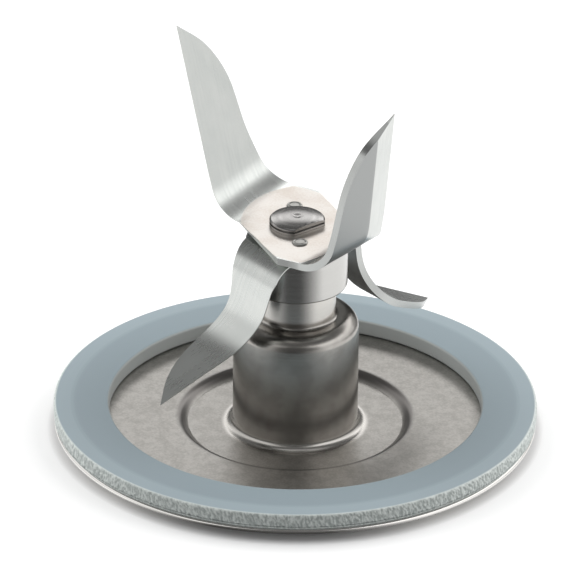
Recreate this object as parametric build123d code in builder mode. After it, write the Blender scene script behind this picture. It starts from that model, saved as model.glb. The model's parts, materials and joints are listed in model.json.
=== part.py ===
from build123d import *

import os
from math import cos, radians, sin, tan

# Blade unit that closes the foot of a blender jar: a drawn steel plate with a bearing tower, a seal
# ring on its rim, and two pairs of bent blades on a shaft that a square socket drives from below.
# Millimetres. +Z is up along the shaft, and the origin is on the axis, where the plate rests.
# Headings are degrees round +Z from +X. The blades turn counter-clockwise seen from above.

# Plate, tower and neck, drawn from one sheet
plate_od = 99.7
plate_sheet = 1.2
rim_lift = 1.5
floor_od = 44.4
step_run = 1.0
step_radius = 2.8
step_foot_radius = 0.4
tower_od = 25.9
foot_radius = 1.7
shoulder_height = 26.4
shoulder_radius = 3.0
neck_od = 16.3
neck_foot_radius = 0.7
neck_height = 38.0

# Seal ring
gasket_overhang = 0.15
gasket_width = 11.45
gasket_thickness = 3.4
gasket_edge_radius = 0.5
gasket_foot_radius = 0.3

# Collar that turns over the neck and carries the blades
collar_od = 21.0
collar_bottom = 33.6
collar_top = 43.8
collar_edge_radius = 0.4
skirt_clearance = 0.5
skirt_headroom = 0.6
stem_od = 10.4

# Blade sheet, common to both blades, and the thin land that grinding leaves at a cutting edge
blade_sheet = 1.5
edge_land = 0.2

# Upper blade: its two arms, the left one first, differ a little in outline and in how far they are bent up
upper_headings = (180.0, -6.3)
upper_bends = (62.9, 73.0)
upper_bend_start = 10.6
upper_bend_radius = 8.6
upper_reaches = (38.2, 37.0)
upper_lead_roots = (5.5, 5.9)
upper_lead_knees = ((8.2, 2.75), (8.2, 3.8))
upper_tip_trails = (6.2, 4.4)
upper_bellies = ((24.0, 15.2), (24.0, 15.4))
upper_shoulders = ((31.5, 12.5), (31.2, 13.0))
upper_waist = (9.0, 14.2)
upper_trail_root = 13.8
upper_corners = ((4.4, 15.4), (6.4, 14.7))
upper_bevel = 6.6

# Lower blade: both arms drop over the collar and flare out to a point
lower_heading = 251.7
lower_bend_start = 11.65
lower_bend_radius = 4.0
lower_drop_angle = 87.5
lower_drop = 6.4
lower_flare_radius = 12.8
lower_flare_angle = 25.5
lower_flare = 15.3
lower_lead_root = 11.2
lower_lead_knee = (13.3, 11.1)
lower_lead_mid = (28.7, 4.8)
lower_tip_lead = 1.0
lower_trail_root = 4.4
lower_trail_waist = (15.5, 1.9)
lower_trail_belly = (30.5, 5.9)
lower_trail_end = (39.0, 4.0)
lower_bevel = 2.6
lower_lean = 45.0

# Shaft with a formed head
shaft_od = 8.0
shaft_bottom = 6.4
shaft_flat = 3.2
shaft_flat_heading = -20.0
head_od = 11.4
head_foot = 0.55
head_groove = 0.4
head_groove_depth = 0.6
head_rim = 0.25
head_chamfer = 0.25
head_crown = 0.5
head_flat = 4.1
head_dimple_od = 1.6
head_dimple_depth = 0.25

# Rivets that lock both blades to the collar
rivet_od = 3.3
rivet_pitch = 16.8
rivet_heading = -54.5
rivet_depth = 2.6
rivet_proud = 0.3
rivet_crown_radius = 0.25

# Ball bearings, two alike
bearing_od = 19.0
bearing_width = 6.0
bearing_seat = 24.2
bearing_spacing = 1.0
ring_edge = 0.3
inner_ring_od = 11.0
outer_ring_id = 16.0
ball_od = 3.0
ball_pitch_od = 13.5
ball_count = 8
cage_wall = 0.9
cage_height = 3.8
shield_sheet = 0.3
shield_inset = 0.15

# Sleeve that carries the bearings in the tower
sleeve_lip_id = 16.8
sleeve_bottom = 8.8
sleeve_chamfer = 2.2
groove_depth = 0.6

# Circlip under the lower bearing
circlip_sheet = 1.0
circlip_width = 1.5
circlip_opening = 50.0
circlip_lug_od = 2.6
circlip_hole_od = 1.1
circlip_lug_turn = 8.0

# Lip seal between neck and stem
seal_bottom = 28.0
seal_top = 34.6
seal_wall = 0.8
seal_web = 1.0
seal_lip = 0.7
seal_lip_drop = 3.4

# Coupling screwed on the shaft's foot
coupling_od = 14.0
coupling_bottom = 0.6
coupling_top = 9.0
coupling_hub_od = 10.4
coupling_edge = 0.5
socket_width = 7.0
socket_depth = 5.4
socket_lead_in = 0.4

# Clearances
press_gap = 0.02
race_gap = 0.05
lip_gap = 0.05
shield_gap = 0.1

# Heights and radii that follow from the sizes above
rim_top = rim_lift + plate_sheet
tower_bore_od = tower_od - 2 * plate_sheet
neck_bore_od = neck_od - 2 * plate_sheet
shoulder_underside = shoulder_height - plate_sheet
lower_blade_top = collar_top + blade_sheet
upper_blade_top = lower_blade_top + blade_sheet
head_groove_top = upper_blade_top + head_foot + head_groove
head_top = head_groove_top + head_rim + head_chamfer
head_apex = head_top + head_crown
upper_bearing_bottom = bearing_seat - bearing_width
lower_bearing_bottom = upper_bearing_bottom - bearing_spacing - bearing_width
gasket_od = plate_od + 2 * gasket_overhang
gasket_id = gasket_od - 2 * gasket_width
bore_on_shaft_od = shaft_od + 2 * press_gap
sleeve_bore_od = bearing_od + 2 * press_gap
rivet_hole_od = rivet_od + 2 * press_gap


def turned(point, heading):
    """Return a point of the plan view turned round the axis to a heading."""
    return Vector(*point).rotate(Axis.Z, heading)


def shaft_hole(bottom, top):
    """Return a keyed hole for the shaft, with one flat, from one height to another."""
    with BuildPart() as hole:
        with BuildSketch(Plane.XY.offset(bottom)):
            Circle(bore_on_shaft_od / 2)
            with Locations((shaft_flat + press_gap, 0)):
                Rectangle(shaft_od, 2 * shaft_od, align=(Align.MIN, Align.CENTER), mode=Mode.SUBTRACT)
        extrude(amount=top - bottom)
    return hole.part


def ring(outer_od, inner_od, bottom, top, edge=0.0):
    """Return a plain turned ring, with its four edges chamfered where an edge size is given."""
    with BuildPart() as turned_ring:
        with BuildSketch(Plane.XY.offset(bottom)):
            Circle(outer_od / 2)
            Circle(inner_od / 2, mode=Mode.SUBTRACT)
        extrude(amount=top - bottom)
        if edge > 0:
            chamfer(turned_ring.edges().filter_by(GeomType.CIRCLE), edge)
    return turned_ring.part


def upper_arm(side):
    """Return an upward arm that points along +X, trimmed to its outline and ground on its outer face."""
    reach = upper_reaches[side]
    tip_trail = upper_tip_trails[side]
    lead_root = upper_lead_roots[side]
    lead_knee = upper_lead_knees[side]
    belly = upper_bellies[side]
    shoulder = upper_shoulders[side]
    bend = radians(upper_bends[side])
    tangent_run = upper_bend_radius * tan(bend / 2)
    corner = Vector(upper_bend_start + tangent_run, 0, upper_blade_top)
    along = Vector(cos(bend), 0, sin(bend))
    face = Plane(origin=corner, x_dir=along, z_dir=Vector(-sin(bend), 0, cos(bend)))
    root = -tangent_run * cos(bend)
    root_margin = root - 2 * blade_sheet
    knee = Vector(*lead_knee)
    point = Vector(reach, -tip_trail)
    edge_line = (point - knee).normalized()
    inward = Vector(edge_line.Y, -edge_line.X)
    grind = Plane(
        origin=face.from_local_coords(knee),
        x_dir=face.from_local_coords(inward) - corner,
        z_dir=face.from_local_coords(edge_line) - corner,
    )
    with BuildPart() as arm:
        with BuildSketch(Plane.XZ):
            with BuildLine():
                rise = JernArc((upper_bend_start, upper_blade_top), (1, 0), upper_bend_radius, upper_bends[side])
                Line(rise @ 1, rise @ 1 + (rise % 1) * (reach - tangent_run))
                offset(amount=blade_sheet, side=Side.RIGHT)
            make_face()
        extrude(amount=plate_od / 4, both=True)
        with BuildSketch(face):
            with BuildLine():
                Polyline(
                    (root_margin, -upper_trail_root),
                    (root_margin, lead_root),
                    (root, lead_root),
                    lead_knee,
                    (reach, -tip_trail),
                )
                Spline(
                    (reach, -tip_trail),
                    (shoulder[0], -shoulder[1]),
                    (belly[0], -belly[1]),
                    (upper_waist[0], -upper_waist[1]),
                    (root, -upper_trail_root),
                    (root_margin, -upper_trail_root),
                )
            make_face()
        extrude(amount=2 * reach, both=True, mode=Mode.INTERSECT)
        with BuildSketch(grind):
            with BuildLine():
                Polyline(
                    (-blade_sheet, edge_land),
                    (0, edge_land),
                    (upper_bevel, blade_sheet),
                    (upper_bevel, 2 * blade_sheet),
                    (-blade_sheet, 2 * blade_sheet),
                    close=True,
                )
            make_face()
        extrude(amount=2 * reach, both=True, mode=Mode.SUBTRACT)
    return arm.part


def lower_arm():
    """Return a downward arm that points along +X, trimmed square to a plane that leans outward."""
    lean = radians(lower_lean)
    leaning = Plane(
        origin=(0, 0, lower_blade_top),
        x_dir=(cos(lean), 0, -sin(lean)),
        z_dir=(sin(lean), 0, cos(lean)),
    )
    root = lower_bend_start * cos(lean)
    root_margin = root - 2 * blade_sheet
    with BuildPart() as arm:
        with BuildSketch(Plane.XZ):
            with BuildLine():
                start = (lower_bend_start, lower_blade_top)
                fold = JernArc(start, (1, 0), lower_bend_radius, -lower_drop_angle)
                drop = Line(fold @ 1, fold @ 1 + (fold % 1) * lower_drop)
                sweep_out = lower_drop_angle - lower_flare_angle
                curl = JernArc(drop @ 1, drop % 1, lower_flare_radius, sweep_out)
                flare = Line(curl @ 1, curl @ 1 + (curl % 1) * lower_flare)
                upper_side = Wire([fold, drop, curl, flare])
                offset(amount=blade_sheet, side=Side.RIGHT)
            make_face()
        extrude(amount=plate_od / 4, both=True)
        tip = flare @ 1
        reach = tip.X * cos(lean) + (lower_blade_top - tip.Y) * sin(lean)
        with BuildSketch(leaning):
            with BuildLine():
                Polyline((root_margin, lower_lead_root), (root, lower_lead_root), lower_lead_knee)
                lead = Spline(lower_lead_knee, lower_lead_mid, (reach, lower_tip_lead))
                Polyline(
                    lead @ 1,
                    (reach, -lower_lead_root),
                    (root_margin, -lower_lead_root),
                    (root_margin, lower_lead_root),
                )
            make_face()
        extrude(amount=plate_od, both=True, mode=Mode.INTERSECT)
        wall = arm.faces().filter_by(GeomType.EXTRUSION)[0]
        depths = [(e, upper_side.distance_to(side_view(e @ 0.5))) for e in wall.edges()]
        underside = [e for e, depth in depths if abs(depth - blade_sheet) < edge_land]
        chamfer(underside, blade_sheet - edge_land, lower_bevel, reference=wall)
        with BuildSketch(leaning):
            with BuildLine():
                Polyline(
                    (root_margin, -lower_trail_root),
                    (root_margin, lower_lead_root),
                    (root, lower_lead_root),
                    lower_lead_knee,
                )
                Spline(lower_lead_knee, lower_lead_mid, (reach, lower_tip_lead))
                Spline(
                    (reach, lower_tip_lead),
                    (lower_trail_end[0], -lower_trail_end[1]),
                    (lower_trail_belly[0], -lower_trail_belly[1]),
                    (lower_trail_waist[0], -lower_trail_waist[1]),
                    (root_margin, -lower_trail_root),
                )
            make_face()
        extrude(amount=plate_od, both=True, mode=Mode.INTERSECT)
    return arm.part


def side_view(point):
    """Return a point of an arm as a vertex of the arm's side view."""
    return Vertex(point.X, point.Z, 0)


def rivet_places(height):
    """Return the two rivet positions at a height."""
    return [turned((side * rivet_pitch / 2, 0, height), rivet_heading) for side in (1, -1)]


# Plate: one sheet line from the rim in over the step, up the tower and the neck
with BuildPart() as base_plate:
    with BuildSketch(Plane.XZ):
        with BuildLine():
            FilletPolyline(
                (plate_od / 2, rim_top),
                (floor_od / 2 + step_run, rim_top),
                (floor_od / 2, plate_sheet),
                (tower_od / 2, plate_sheet),
                (tower_od / 2, shoulder_height),
                (neck_od / 2, shoulder_height),
                (neck_od / 2, neck_height),
                radius=(step_radius, step_foot_radius, foot_radius, shoulder_radius, neck_foot_radius),
            )
            offset(amount=plate_sheet, side=Side.LEFT)
        make_face()
    revolve(axis=Axis.Z)

# Seal ring: a flat ring on the rim, its edges rounded
with BuildPart() as gasket:
    with BuildSketch(Plane.XY.offset(rim_top)):
        Circle(gasket_od / 2)
        Circle(gasket_id / 2, mode=Mode.SUBTRACT)
    extrude(amount=gasket_thickness)
    fillet(gasket.edges().group_by(Axis.Z)[-1], gasket_edge_radius)
    fillet(gasket.edges().group_by(Axis.Z)[0], gasket_foot_radius)

# Collar: skirt over the neck, and a stem down to the upper bearing
with BuildPart() as blade_collar:
    skirt_id = neck_od + 2 * skirt_clearance
    skirt_top = neck_height + skirt_headroom
    with BuildSketch(Plane.XZ):
        with BuildLine():
            Polyline(
                (bore_on_shaft_od / 2, bearing_seat),
                (stem_od / 2, bearing_seat),
                (stem_od / 2, skirt_top),
                (skirt_id / 2, skirt_top),
                (skirt_id / 2, collar_bottom),
                (collar_od / 2, collar_bottom),
                (collar_od / 2, collar_top),
                (bore_on_shaft_od / 2, collar_top),
                close=True,
            )
        make_face()
    revolve(axis=Axis.Z)
    fillet(blade_collar.edges().filter_by(GeomType.CIRCLE).sort_by(SortBy.RADIUS)[-2:], collar_edge_radius)
    with Locations(*rivet_places(collar_top)):
        Hole(rivet_hole_od / 2, depth=rivet_depth)

# Lower blade: flat centre and two arms
lower_roots = [(lower_bend_start, -lower_trail_root), (lower_bend_start, lower_lead_root)]
lower_pattern = [turned(p, lower_heading) for p in lower_roots]
lower_pattern += [turned(p, lower_heading + 180) for p in lower_roots]
lower_arm_solid = lower_arm()
with BuildPart() as lower_blade:
    with BuildSketch(Plane.XY.offset(collar_top)):
        with BuildLine():
            Polyline(*lower_pattern, close=True)
        make_face()
    extrude(amount=blade_sheet)
    add(lower_arm_solid, rotation=(0, 0, lower_heading))
    add(lower_arm_solid, rotation=(0, 0, lower_heading + 180))
    add(shaft_hole(collar_top, lower_blade_top), rotation=(0, 0, shaft_flat_heading), mode=Mode.SUBTRACT)
    with Locations(*rivet_places(lower_blade_top)):
        Hole(rivet_hole_od / 2, depth=blade_sheet)

# Upper blade: clipped centre and two arms bent up
upper_pattern = []
for heading, corner, lead_root in zip(upper_headings, upper_corners, upper_lead_roots):
    upper_pattern.append(turned((corner[0], -corner[1]), heading))
    upper_pattern.append(turned((upper_bend_start, -upper_trail_root), heading))
    upper_pattern.append(turned((upper_bend_start, lead_root), heading))
upper_arm_solids = [upper_arm(side) for side in range(2)]
with BuildPart() as upper_blade:
    with BuildSketch(Plane.XY.offset(lower_blade_top)):
        with BuildLine():
            Polyline(*upper_pattern, close=True)
        make_face()
    extrude(amount=blade_sheet)
    for arm_solid, heading in zip(upper_arm_solids, upper_headings):
        add(arm_solid, rotation=(0, 0, heading))
    add(shaft_hole(lower_blade_top, upper_blade_top), rotation=(0, 0, shaft_flat_heading), mode=Mode.SUBTRACT)
    with Locations(*rivet_places(upper_blade_top)):
        Hole(rivet_hole_od / 2, depth=blade_sheet)

# Shaft: one turned bar, its head formed over the blades, flats keyed to them
with BuildPart() as shaft:
    with BuildSketch(Plane.XZ):
        with BuildLine():
            Polyline(
                (head_dimple_od / 2, head_apex),
                (0, head_apex - head_dimple_depth),
                (0, shaft_bottom),
                (shaft_od / 2, shaft_bottom),
                (shaft_od / 2, upper_blade_top),
                (head_od / 2, upper_blade_top),
                (head_od / 2, upper_blade_top + head_foot),
                (head_od / 2 - head_groove_depth, upper_blade_top + head_foot),
                (head_od / 2 - head_groove_depth, head_groove_top),
                (head_od / 2, head_groove_top),
                (head_od / 2, head_groove_top + head_rim),
                (head_od / 2 - head_chamfer, head_top),
            )
            rim = (head_od / 2 - head_chamfer, head_top)
            TangentArc((head_dimple_od / 2, head_apex), rim, tangent=(1, 0))
        make_face()
    revolve(axis=Axis.Z)
    chamfer(shaft.edges().group_by(Axis.Z)[0], ring_edge)
    keyed = Plane.XY.rotated((0, 0, shaft_flat_heading))
    with BuildSketch(keyed.offset(collar_top)):
        with Locations((shaft_flat, 0)):
            Rectangle(shaft_od, 2 * shaft_od, align=(Align.MIN, Align.CENTER))
    extrude(amount=2 * blade_sheet, mode=Mode.SUBTRACT)
    with BuildSketch(keyed.offset(upper_blade_top)):
        with Locations((head_flat, 0)):
            Rectangle(head_od, 2 * head_od, align=(Align.MIN, Align.CENTER))
    extrude(amount=head_apex - upper_blade_top, mode=Mode.SUBTRACT)

# Rivets: two pins through both blades into the collar, with low crowns
with BuildPart() as blade_rivets:
    with BuildSketch(Plane.XY.offset(collar_top - rivet_depth)):
        with Locations(*[(p.X, p.Y) for p in rivet_places(0)]):
            Circle(rivet_od / 2)
    extrude(amount=rivet_depth + 2 * blade_sheet + rivet_proud)
    fillet(blade_rivets.edges().group_by(Axis.Z)[-1], rivet_crown_radius)

# Sleeve: carries both bearings, with a lip over the upper one and a circlip groove
circlip_bottom = lower_bearing_bottom - circlip_sheet - press_gap
with BuildPart() as bearing_sleeve:
    with BuildSketch(Plane.XZ):
        sleeve_radius = tower_bore_od / 2 - press_gap
        groove_radius = sleeve_bore_od / 2 + groove_depth
        with BuildLine():
            Polyline(
                (sleeve_radius, sleeve_bottom),
                (sleeve_radius, shoulder_underside - sleeve_chamfer),
                (sleeve_radius - sleeve_chamfer, shoulder_underside),
                (sleeve_lip_id / 2, shoulder_underside),
                (sleeve_lip_id / 2, bearing_seat),
                (sleeve_bore_od / 2, bearing_seat),
                (sleeve_bore_od / 2, lower_bearing_bottom),
                (groove_radius, lower_bearing_bottom),
                (groove_radius, circlip_bottom - press_gap),
                (sleeve_bore_od / 2, circlip_bottom - press_gap),
                (sleeve_bore_od / 2, sleeve_bottom),
                close=True,
            )
        make_face()
    revolve(axis=Axis.Z)

# Circlip: an open ring with two drilled lugs
with BuildPart() as circlip:
    circlip_radius = groove_radius - press_gap
    lug_radius = circlip_radius - circlip_width - circlip_lug_od / 4
    with BuildSketch(Plane.XY.offset(circlip_bottom)):
        Circle(circlip_radius)
        Circle(circlip_radius - circlip_width, mode=Mode.SUBTRACT)
        with BuildLine():
            slot_end = turned((2 * circlip_radius, 0), circlip_opening / 2)
            Polyline((0, 0), (slot_end.X, -slot_end.Y), (slot_end.X, slot_end.Y), close=True)
        make_face(mode=Mode.SUBTRACT)
        lug_heading = circlip_opening / 2 + circlip_lug_turn
        lug_places = [turned((lug_radius, 0), side * lug_heading) for side in (1, -1)]
        with Locations(*lug_places):
            Circle(circlip_lug_od / 2)
        with Locations(*lug_places):
            Circle(circlip_hole_od / 2, mode=Mode.SUBTRACT)
    extrude(amount=circlip_sheet)

# Lip seal: a wall in the neck, a web, and a lip that bears on the stem
with BuildPart() as lip_seal:
    seal_radius = neck_bore_od / 2 - press_gap
    lip_radius = stem_od / 2 + lip_gap
    with BuildSketch(Plane.XZ):
        with BuildLine():
            Polyline(
                (seal_radius, seal_bottom),
                (seal_radius, seal_top),
                (lip_radius + seal_lip / 2, seal_top),
                (lip_radius + seal_lip / 2, seal_top - seal_web),
                (lip_radius, seal_top - seal_lip_drop),
                (lip_radius + seal_lip / 2, seal_top - seal_lip_drop - seal_lip / 2),
                (lip_radius + seal_lip, seal_top - seal_web),
                (seal_radius - seal_wall, seal_top - seal_web),
                (seal_radius - seal_wall, seal_bottom),
                close=True,
            )
        make_face()
    revolve(axis=Axis.Z)

# Coupling: screwed on the shaft's foot, with a square socket for the motor's stud
with BuildPart() as drive_coupling:
    with BuildSketch(Plane.XY.offset(coupling_bottom)):
        Circle(coupling_od / 2)
    extrude(amount=coupling_top - coupling_bottom)
    chamfer(drive_coupling.edges().filter_by(GeomType.CIRCLE), coupling_edge)
    with BuildSketch(Plane.XY.offset(coupling_top)):
        Circle(coupling_hub_od / 2)
    extrude(amount=lower_bearing_bottom - coupling_top)
    with Locations((0, 0, lower_bearing_bottom)):
        Hole(bore_on_shaft_od / 2, depth=lower_bearing_bottom - coupling_bottom - socket_depth)
    with BuildSketch(Plane.XY.offset(coupling_bottom)):
        Rectangle(socket_width, socket_width)
    extrude(amount=socket_depth, mode=Mode.SUBTRACT)
    mouth = drive_coupling.edges().filter_by(GeomType.LINE).group_by(Axis.Z)[0]
    chamfer(mouth, socket_lead_in)


def bearing_pieces(position, bottom):
    """Return the pieces of one ball bearing by name, built round its mid height."""
    middle = bottom + bearing_width / 2
    race_od = ball_od + 2 * race_gap
    with BuildPart() as outer_ring:
        add(ring(bearing_od, outer_ring_id, bottom, bottom + bearing_width, ring_edge))
        with Locations((0, 0, middle)):
            Torus(ball_pitch_od / 2, race_od / 2, mode=Mode.SUBTRACT)
    with BuildPart() as inner_ring:
        add(ring(inner_ring_od, bore_on_shaft_od, bottom, bottom + bearing_width, ring_edge))
        with Locations((0, 0, middle)):
            Torus(ball_pitch_od / 2, race_od / 2, mode=Mode.SUBTRACT)
    with BuildPart() as balls:
        with Locations((0, 0, middle)):
            with PolarLocations(ball_pitch_od / 2, ball_count):
                Sphere(ball_od / 2)
    with BuildPart() as cage:
        cage_od = ball_pitch_od + cage_wall
        cage_id = ball_pitch_od - cage_wall
        add(ring(cage_od, cage_id, middle - cage_height / 2, middle + cage_height / 2))
        with Locations((0, 0, middle)):
            with PolarLocations(ball_pitch_od / 2, ball_count):
                Cylinder(race_od / 2, 2 * cage_wall, rotation=(0, 90, 0), mode=Mode.SUBTRACT)
    with BuildPart() as shields:
        shield_od = outer_ring_id - 2 * press_gap
        shield_id = inner_ring_od + 2 * shield_gap
        for height in (bottom + shield_inset, bottom + bearing_width - shield_inset - shield_sheet):
            add(ring(shield_od, shield_id, height, height + shield_sheet))
    return {
        f"{position}_outer_ring": outer_ring,
        f"{position}_inner_ring": inner_ring,
        f"{position}_balls": balls,
        f"{position}_ball_cage": cage,
        f"{position}_shields": shields,
    }


# Spacers that keep the bearings apart, one under the outer rings and one under the inner rings
with BuildPart() as outer_spacer:
    add(ring(bearing_od, sleeve_lip_id, upper_bearing_bottom - bearing_spacing, upper_bearing_bottom))

with BuildPart() as inner_spacer:
    add(ring(stem_od, bore_on_shaft_od, upper_bearing_bottom - bearing_spacing, upper_bearing_bottom))

pieces = {
    "base_plate": base_plate,
    "gasket": gasket,
    "blade_collar": blade_collar,
    "lower_blade": lower_blade,
    "upper_blade": upper_blade,
    "shaft": shaft,
    "blade_rivets": blade_rivets,
    "bearing_sleeve": bearing_sleeve,
    "circlip": circlip,
    "lip_seal": lip_seal,
    "drive_coupling": drive_coupling,
    "outer_spacer": outer_spacer,
    "inner_spacer": inner_spacer,
}
pieces.update(bearing_pieces("upper", upper_bearing_bottom))
pieces.update(bearing_pieces("lower", lower_bearing_bottom))

os.makedirs("parts", exist_ok=True)
for node, piece in pieces.items():
    piece.part.label = node
    export_step(piece.part, f"parts/{node}.step")
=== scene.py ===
"""Looks of a blender blade unit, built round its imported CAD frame.

Sizes are in millimetres, as in the CAD source, and become metres when a mesh is finished. The unit
stands on its sunken floor at the origin, with +Z up along the shaft.
"""

import json
import logging
import math
from dataclasses import dataclass
from enum import Enum
from typing import Any, Sequence

import bmesh
import bpy
from mathutils import Matrix, Vector

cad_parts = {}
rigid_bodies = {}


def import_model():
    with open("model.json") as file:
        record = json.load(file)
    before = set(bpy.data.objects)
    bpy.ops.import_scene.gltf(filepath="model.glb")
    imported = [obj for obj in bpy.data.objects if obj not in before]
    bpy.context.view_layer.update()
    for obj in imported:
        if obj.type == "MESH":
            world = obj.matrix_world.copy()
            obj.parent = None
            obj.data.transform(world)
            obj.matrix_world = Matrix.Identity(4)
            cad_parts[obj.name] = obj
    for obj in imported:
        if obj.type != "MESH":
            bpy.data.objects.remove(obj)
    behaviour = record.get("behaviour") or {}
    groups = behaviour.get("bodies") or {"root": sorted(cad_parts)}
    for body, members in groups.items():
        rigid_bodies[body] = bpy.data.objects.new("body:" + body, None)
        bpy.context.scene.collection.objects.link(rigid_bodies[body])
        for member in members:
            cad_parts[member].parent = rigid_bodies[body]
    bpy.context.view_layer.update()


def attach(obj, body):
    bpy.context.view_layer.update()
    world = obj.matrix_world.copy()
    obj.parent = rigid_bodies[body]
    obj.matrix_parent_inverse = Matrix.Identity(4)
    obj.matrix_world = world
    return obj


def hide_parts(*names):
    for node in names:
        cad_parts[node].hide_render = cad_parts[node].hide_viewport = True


MM = 0.001
SEED = 7
TINY = 1e-6
NEAR = 0.01
# A bend's mitre grows without end as the bend closes, so it is held to that of this cosine.
MITRE_COSINE = 0.3
# Sheet of both blades, and the level of the upper one's seat.
BLADE_SHEET = 1.5
BLADE_TOP = 46.8
# Widths of the ground bevels.
UPPER_BEVEL = 6.6
LOWER_BEVEL = 2.6
# A place across the blades' maps, far from both faces, that marks their sheared sides.
EDGE_MARK = 100.0
CAMERA_AZIMUTH = 31.5
# Most of a noise lies between these.
NOISE_RANGE = (0.3, 0.7)
LEVEL = (1, 1, 0)
LOG = logging.getLogger("blade_unit")

Point = tuple[float, float]
Source = float | bpy.types.NodeSocket
Skin = tuple[Any, Source]
Coat = tuple[bpy.types.NodeSocket, Any, Source]
Column = tuple[Vector, Vector, Point]


class Body(Enum):
    """The CAD bodies that pieces ride on."""

    HOUSING = "housing"
    ROTOR = "rotor"


class Slot(Enum):
    """The record's material slots."""

    PLATE = "drawn_plate_steel"
    GASKET = "gasket_silicone"
    BLADE = "blade_steel"
    TURNED = "turned_steel"
    RIVET = "rivet_steel"
    BEARING = "bearing_steel"
    SPRING = "spring_steel"
    SEAL = "seal_rubber"


def linear(colour: str) -> tuple[float, float, float, float]:
    """Turn an sRGB hex colour into linear RGBA.

    Args:
        colour: Six hex digits after a hash sign.

    Returns:
        The linear red, green, blue and an alpha of 1.
    """
    parts = [int(colour[i : i + 2], 16) / 255 for i in (1, 3, 5)]
    red, green, blue = [c / 12.92 if c <= 0.04045 else ((c + 0.055) / 1.055) ** 2.4 for c in parts]
    return red, green, blue, 1.0


def add_node(
    tree: bpy.types.NodeTree, kind: str, inputs: dict[Any, Any] | None = None, **settings: Any
) -> bpy.types.Node:
    """Add a node with its settings, constants and links.

    Args:
        tree: The node tree that gets the node.
        kind: The node's type name.
        inputs: Constants or output sockets by the name or index of the input.
        **settings: Properties of the node itself.

    Returns:
        The new node.
    """
    node = tree.nodes.new(kind)
    for name, value in settings.items():
        setattr(node, name, value)
    for name, given in (inputs or {}).items():
        if isinstance(given, bpy.types.NodeSocket):
            tree.links.new(given, node.inputs[name])
        else:
            node.inputs[name].default_value = given
    return node


def polar(
    tree: bpy.types.NodeTree, place: bpy.types.NodeSocket
) -> tuple[bpy.types.NodeSocket, bpy.types.NodeSocket]:
    """Find how far a place lies from the axis, and its height.

    Args:
        tree: The node tree to work in.
        place: The place.

    Returns:
        The radius and the height.
    """
    flat = add_node(tree, "ShaderNodeVectorMath", {0: place, 1: LEVEL}, operation="MULTIPLY").outputs[0]
    radius = add_node(tree, "ShaderNodeVectorMath", {0: flat}, operation="LENGTH").outputs["Value"]
    return radius, add_node(tree, "ShaderNodeSeparateXYZ", {0: place}).outputs["Z"]


def turned_rings(
    tree: bpy.types.NodeTree, radius: bpy.types.NodeSocket, height: Source, pitch: float, detail: float
) -> bpy.types.NodeSocket:
    """Draw uneven rings round the axis.

    Args:
        tree: The node tree to work in.
        radius: How far the place lies from the axis.
        height: Its height, or a constant for rings on a flat face alone.
        pitch: About how far apart the rings are, in millimetres.
        detail: How much finer they break up.

    Returns:
        The rings, as a number between 0 and 1.
    """
    place = add_node(tree, "ShaderNodeCombineXYZ", {"X": radius, "Z": height}).outputs[0]
    grain = {"Vector": place, "Scale": 1 / (pitch * MM), "Detail": detail}
    return add_node(tree, "ShaderNodeTexNoise", grain).outputs["Fac"]


def new_group(name: str, kinds: dict[str, str]) -> bpy.types.NodeTree:
    """Start a node group that takes a mesh and a material, and gives a mesh.

    Args:
        name: The group's name.
        kinds: Its other inputs, each with the last word of its socket's type.

    Returns:
        The group, without nodes.
    """
    tree = bpy.data.node_groups.new(name, "GeometryNodeTree")
    for socket, kind in {"Geometry": "Geometry", **kinds, "Material": "Material"}.items():
        tree.interface.new_socket(socket, in_out="INPUT", socket_type="NodeSocket" + kind)
    tree.interface.new_socket("Geometry", in_out="OUTPUT", socket_type="NodeSocketGeometry")
    return tree


def rounded_line(points: Sequence[Point], radii: Sequence[float], step: float = 6.0) -> list[Vector]:
    """Round the inner corners of a line.

    Args:
        points: The line's corners, in order.
        radii: One radius for each corner but the first and last.
        step: Degrees of turn between two points of an arc.

    Returns:
        The points of the rounded line.
    """
    corners = [Vector(p) for p in points]
    line = [corners[0]]
    for before, corner, after, radius in zip(corners, corners[1:], corners[2:], radii):
        way_in = (corner - before).normalized()
        way_out = (after - corner).normalized()
        side = 1.0 if way_in.x * way_out.y - way_in.y * way_out.x > 0 else -1.0
        turn = math.acos(max(-1.0, min(1.0, way_in.dot(way_out))))
        start = corner - way_in * radius * math.tan(turn / 2)
        centre = start + Vector((-way_in.y, way_in.x)) * side * radius
        count = max(2, round(math.degrees(turn) / step))
        for i in range(count + 1):
            spin = Matrix.Rotation(side * turn * i / count, 2)
            line.append(centre + spin @ (start - centre))
    line.append(corners[-1])
    return line


def offset_line(line: Sequence[Vector], distance: float) -> list[Vector]:
    """Shift a line to its left, keeping its distance at every bend.

    Args:
        line: The points of the line.
        distance: How far it moves.

    Returns:
        The shifted points.
    """
    ways = [(b - a).normalized() for a, b in zip(line, line[1:])]
    shifted = []
    for i, point in enumerate(line):
        before = ways[max(0, i - 1)]
        after = ways[min(i, len(ways) - 1)]
        middle = (before + after).normalized()
        reach = distance / max(MITRE_COSINE, middle.dot(before))
        shifted.append(point + Vector((-middle.y, middle.x)) * reach)
    return shifted


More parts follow.
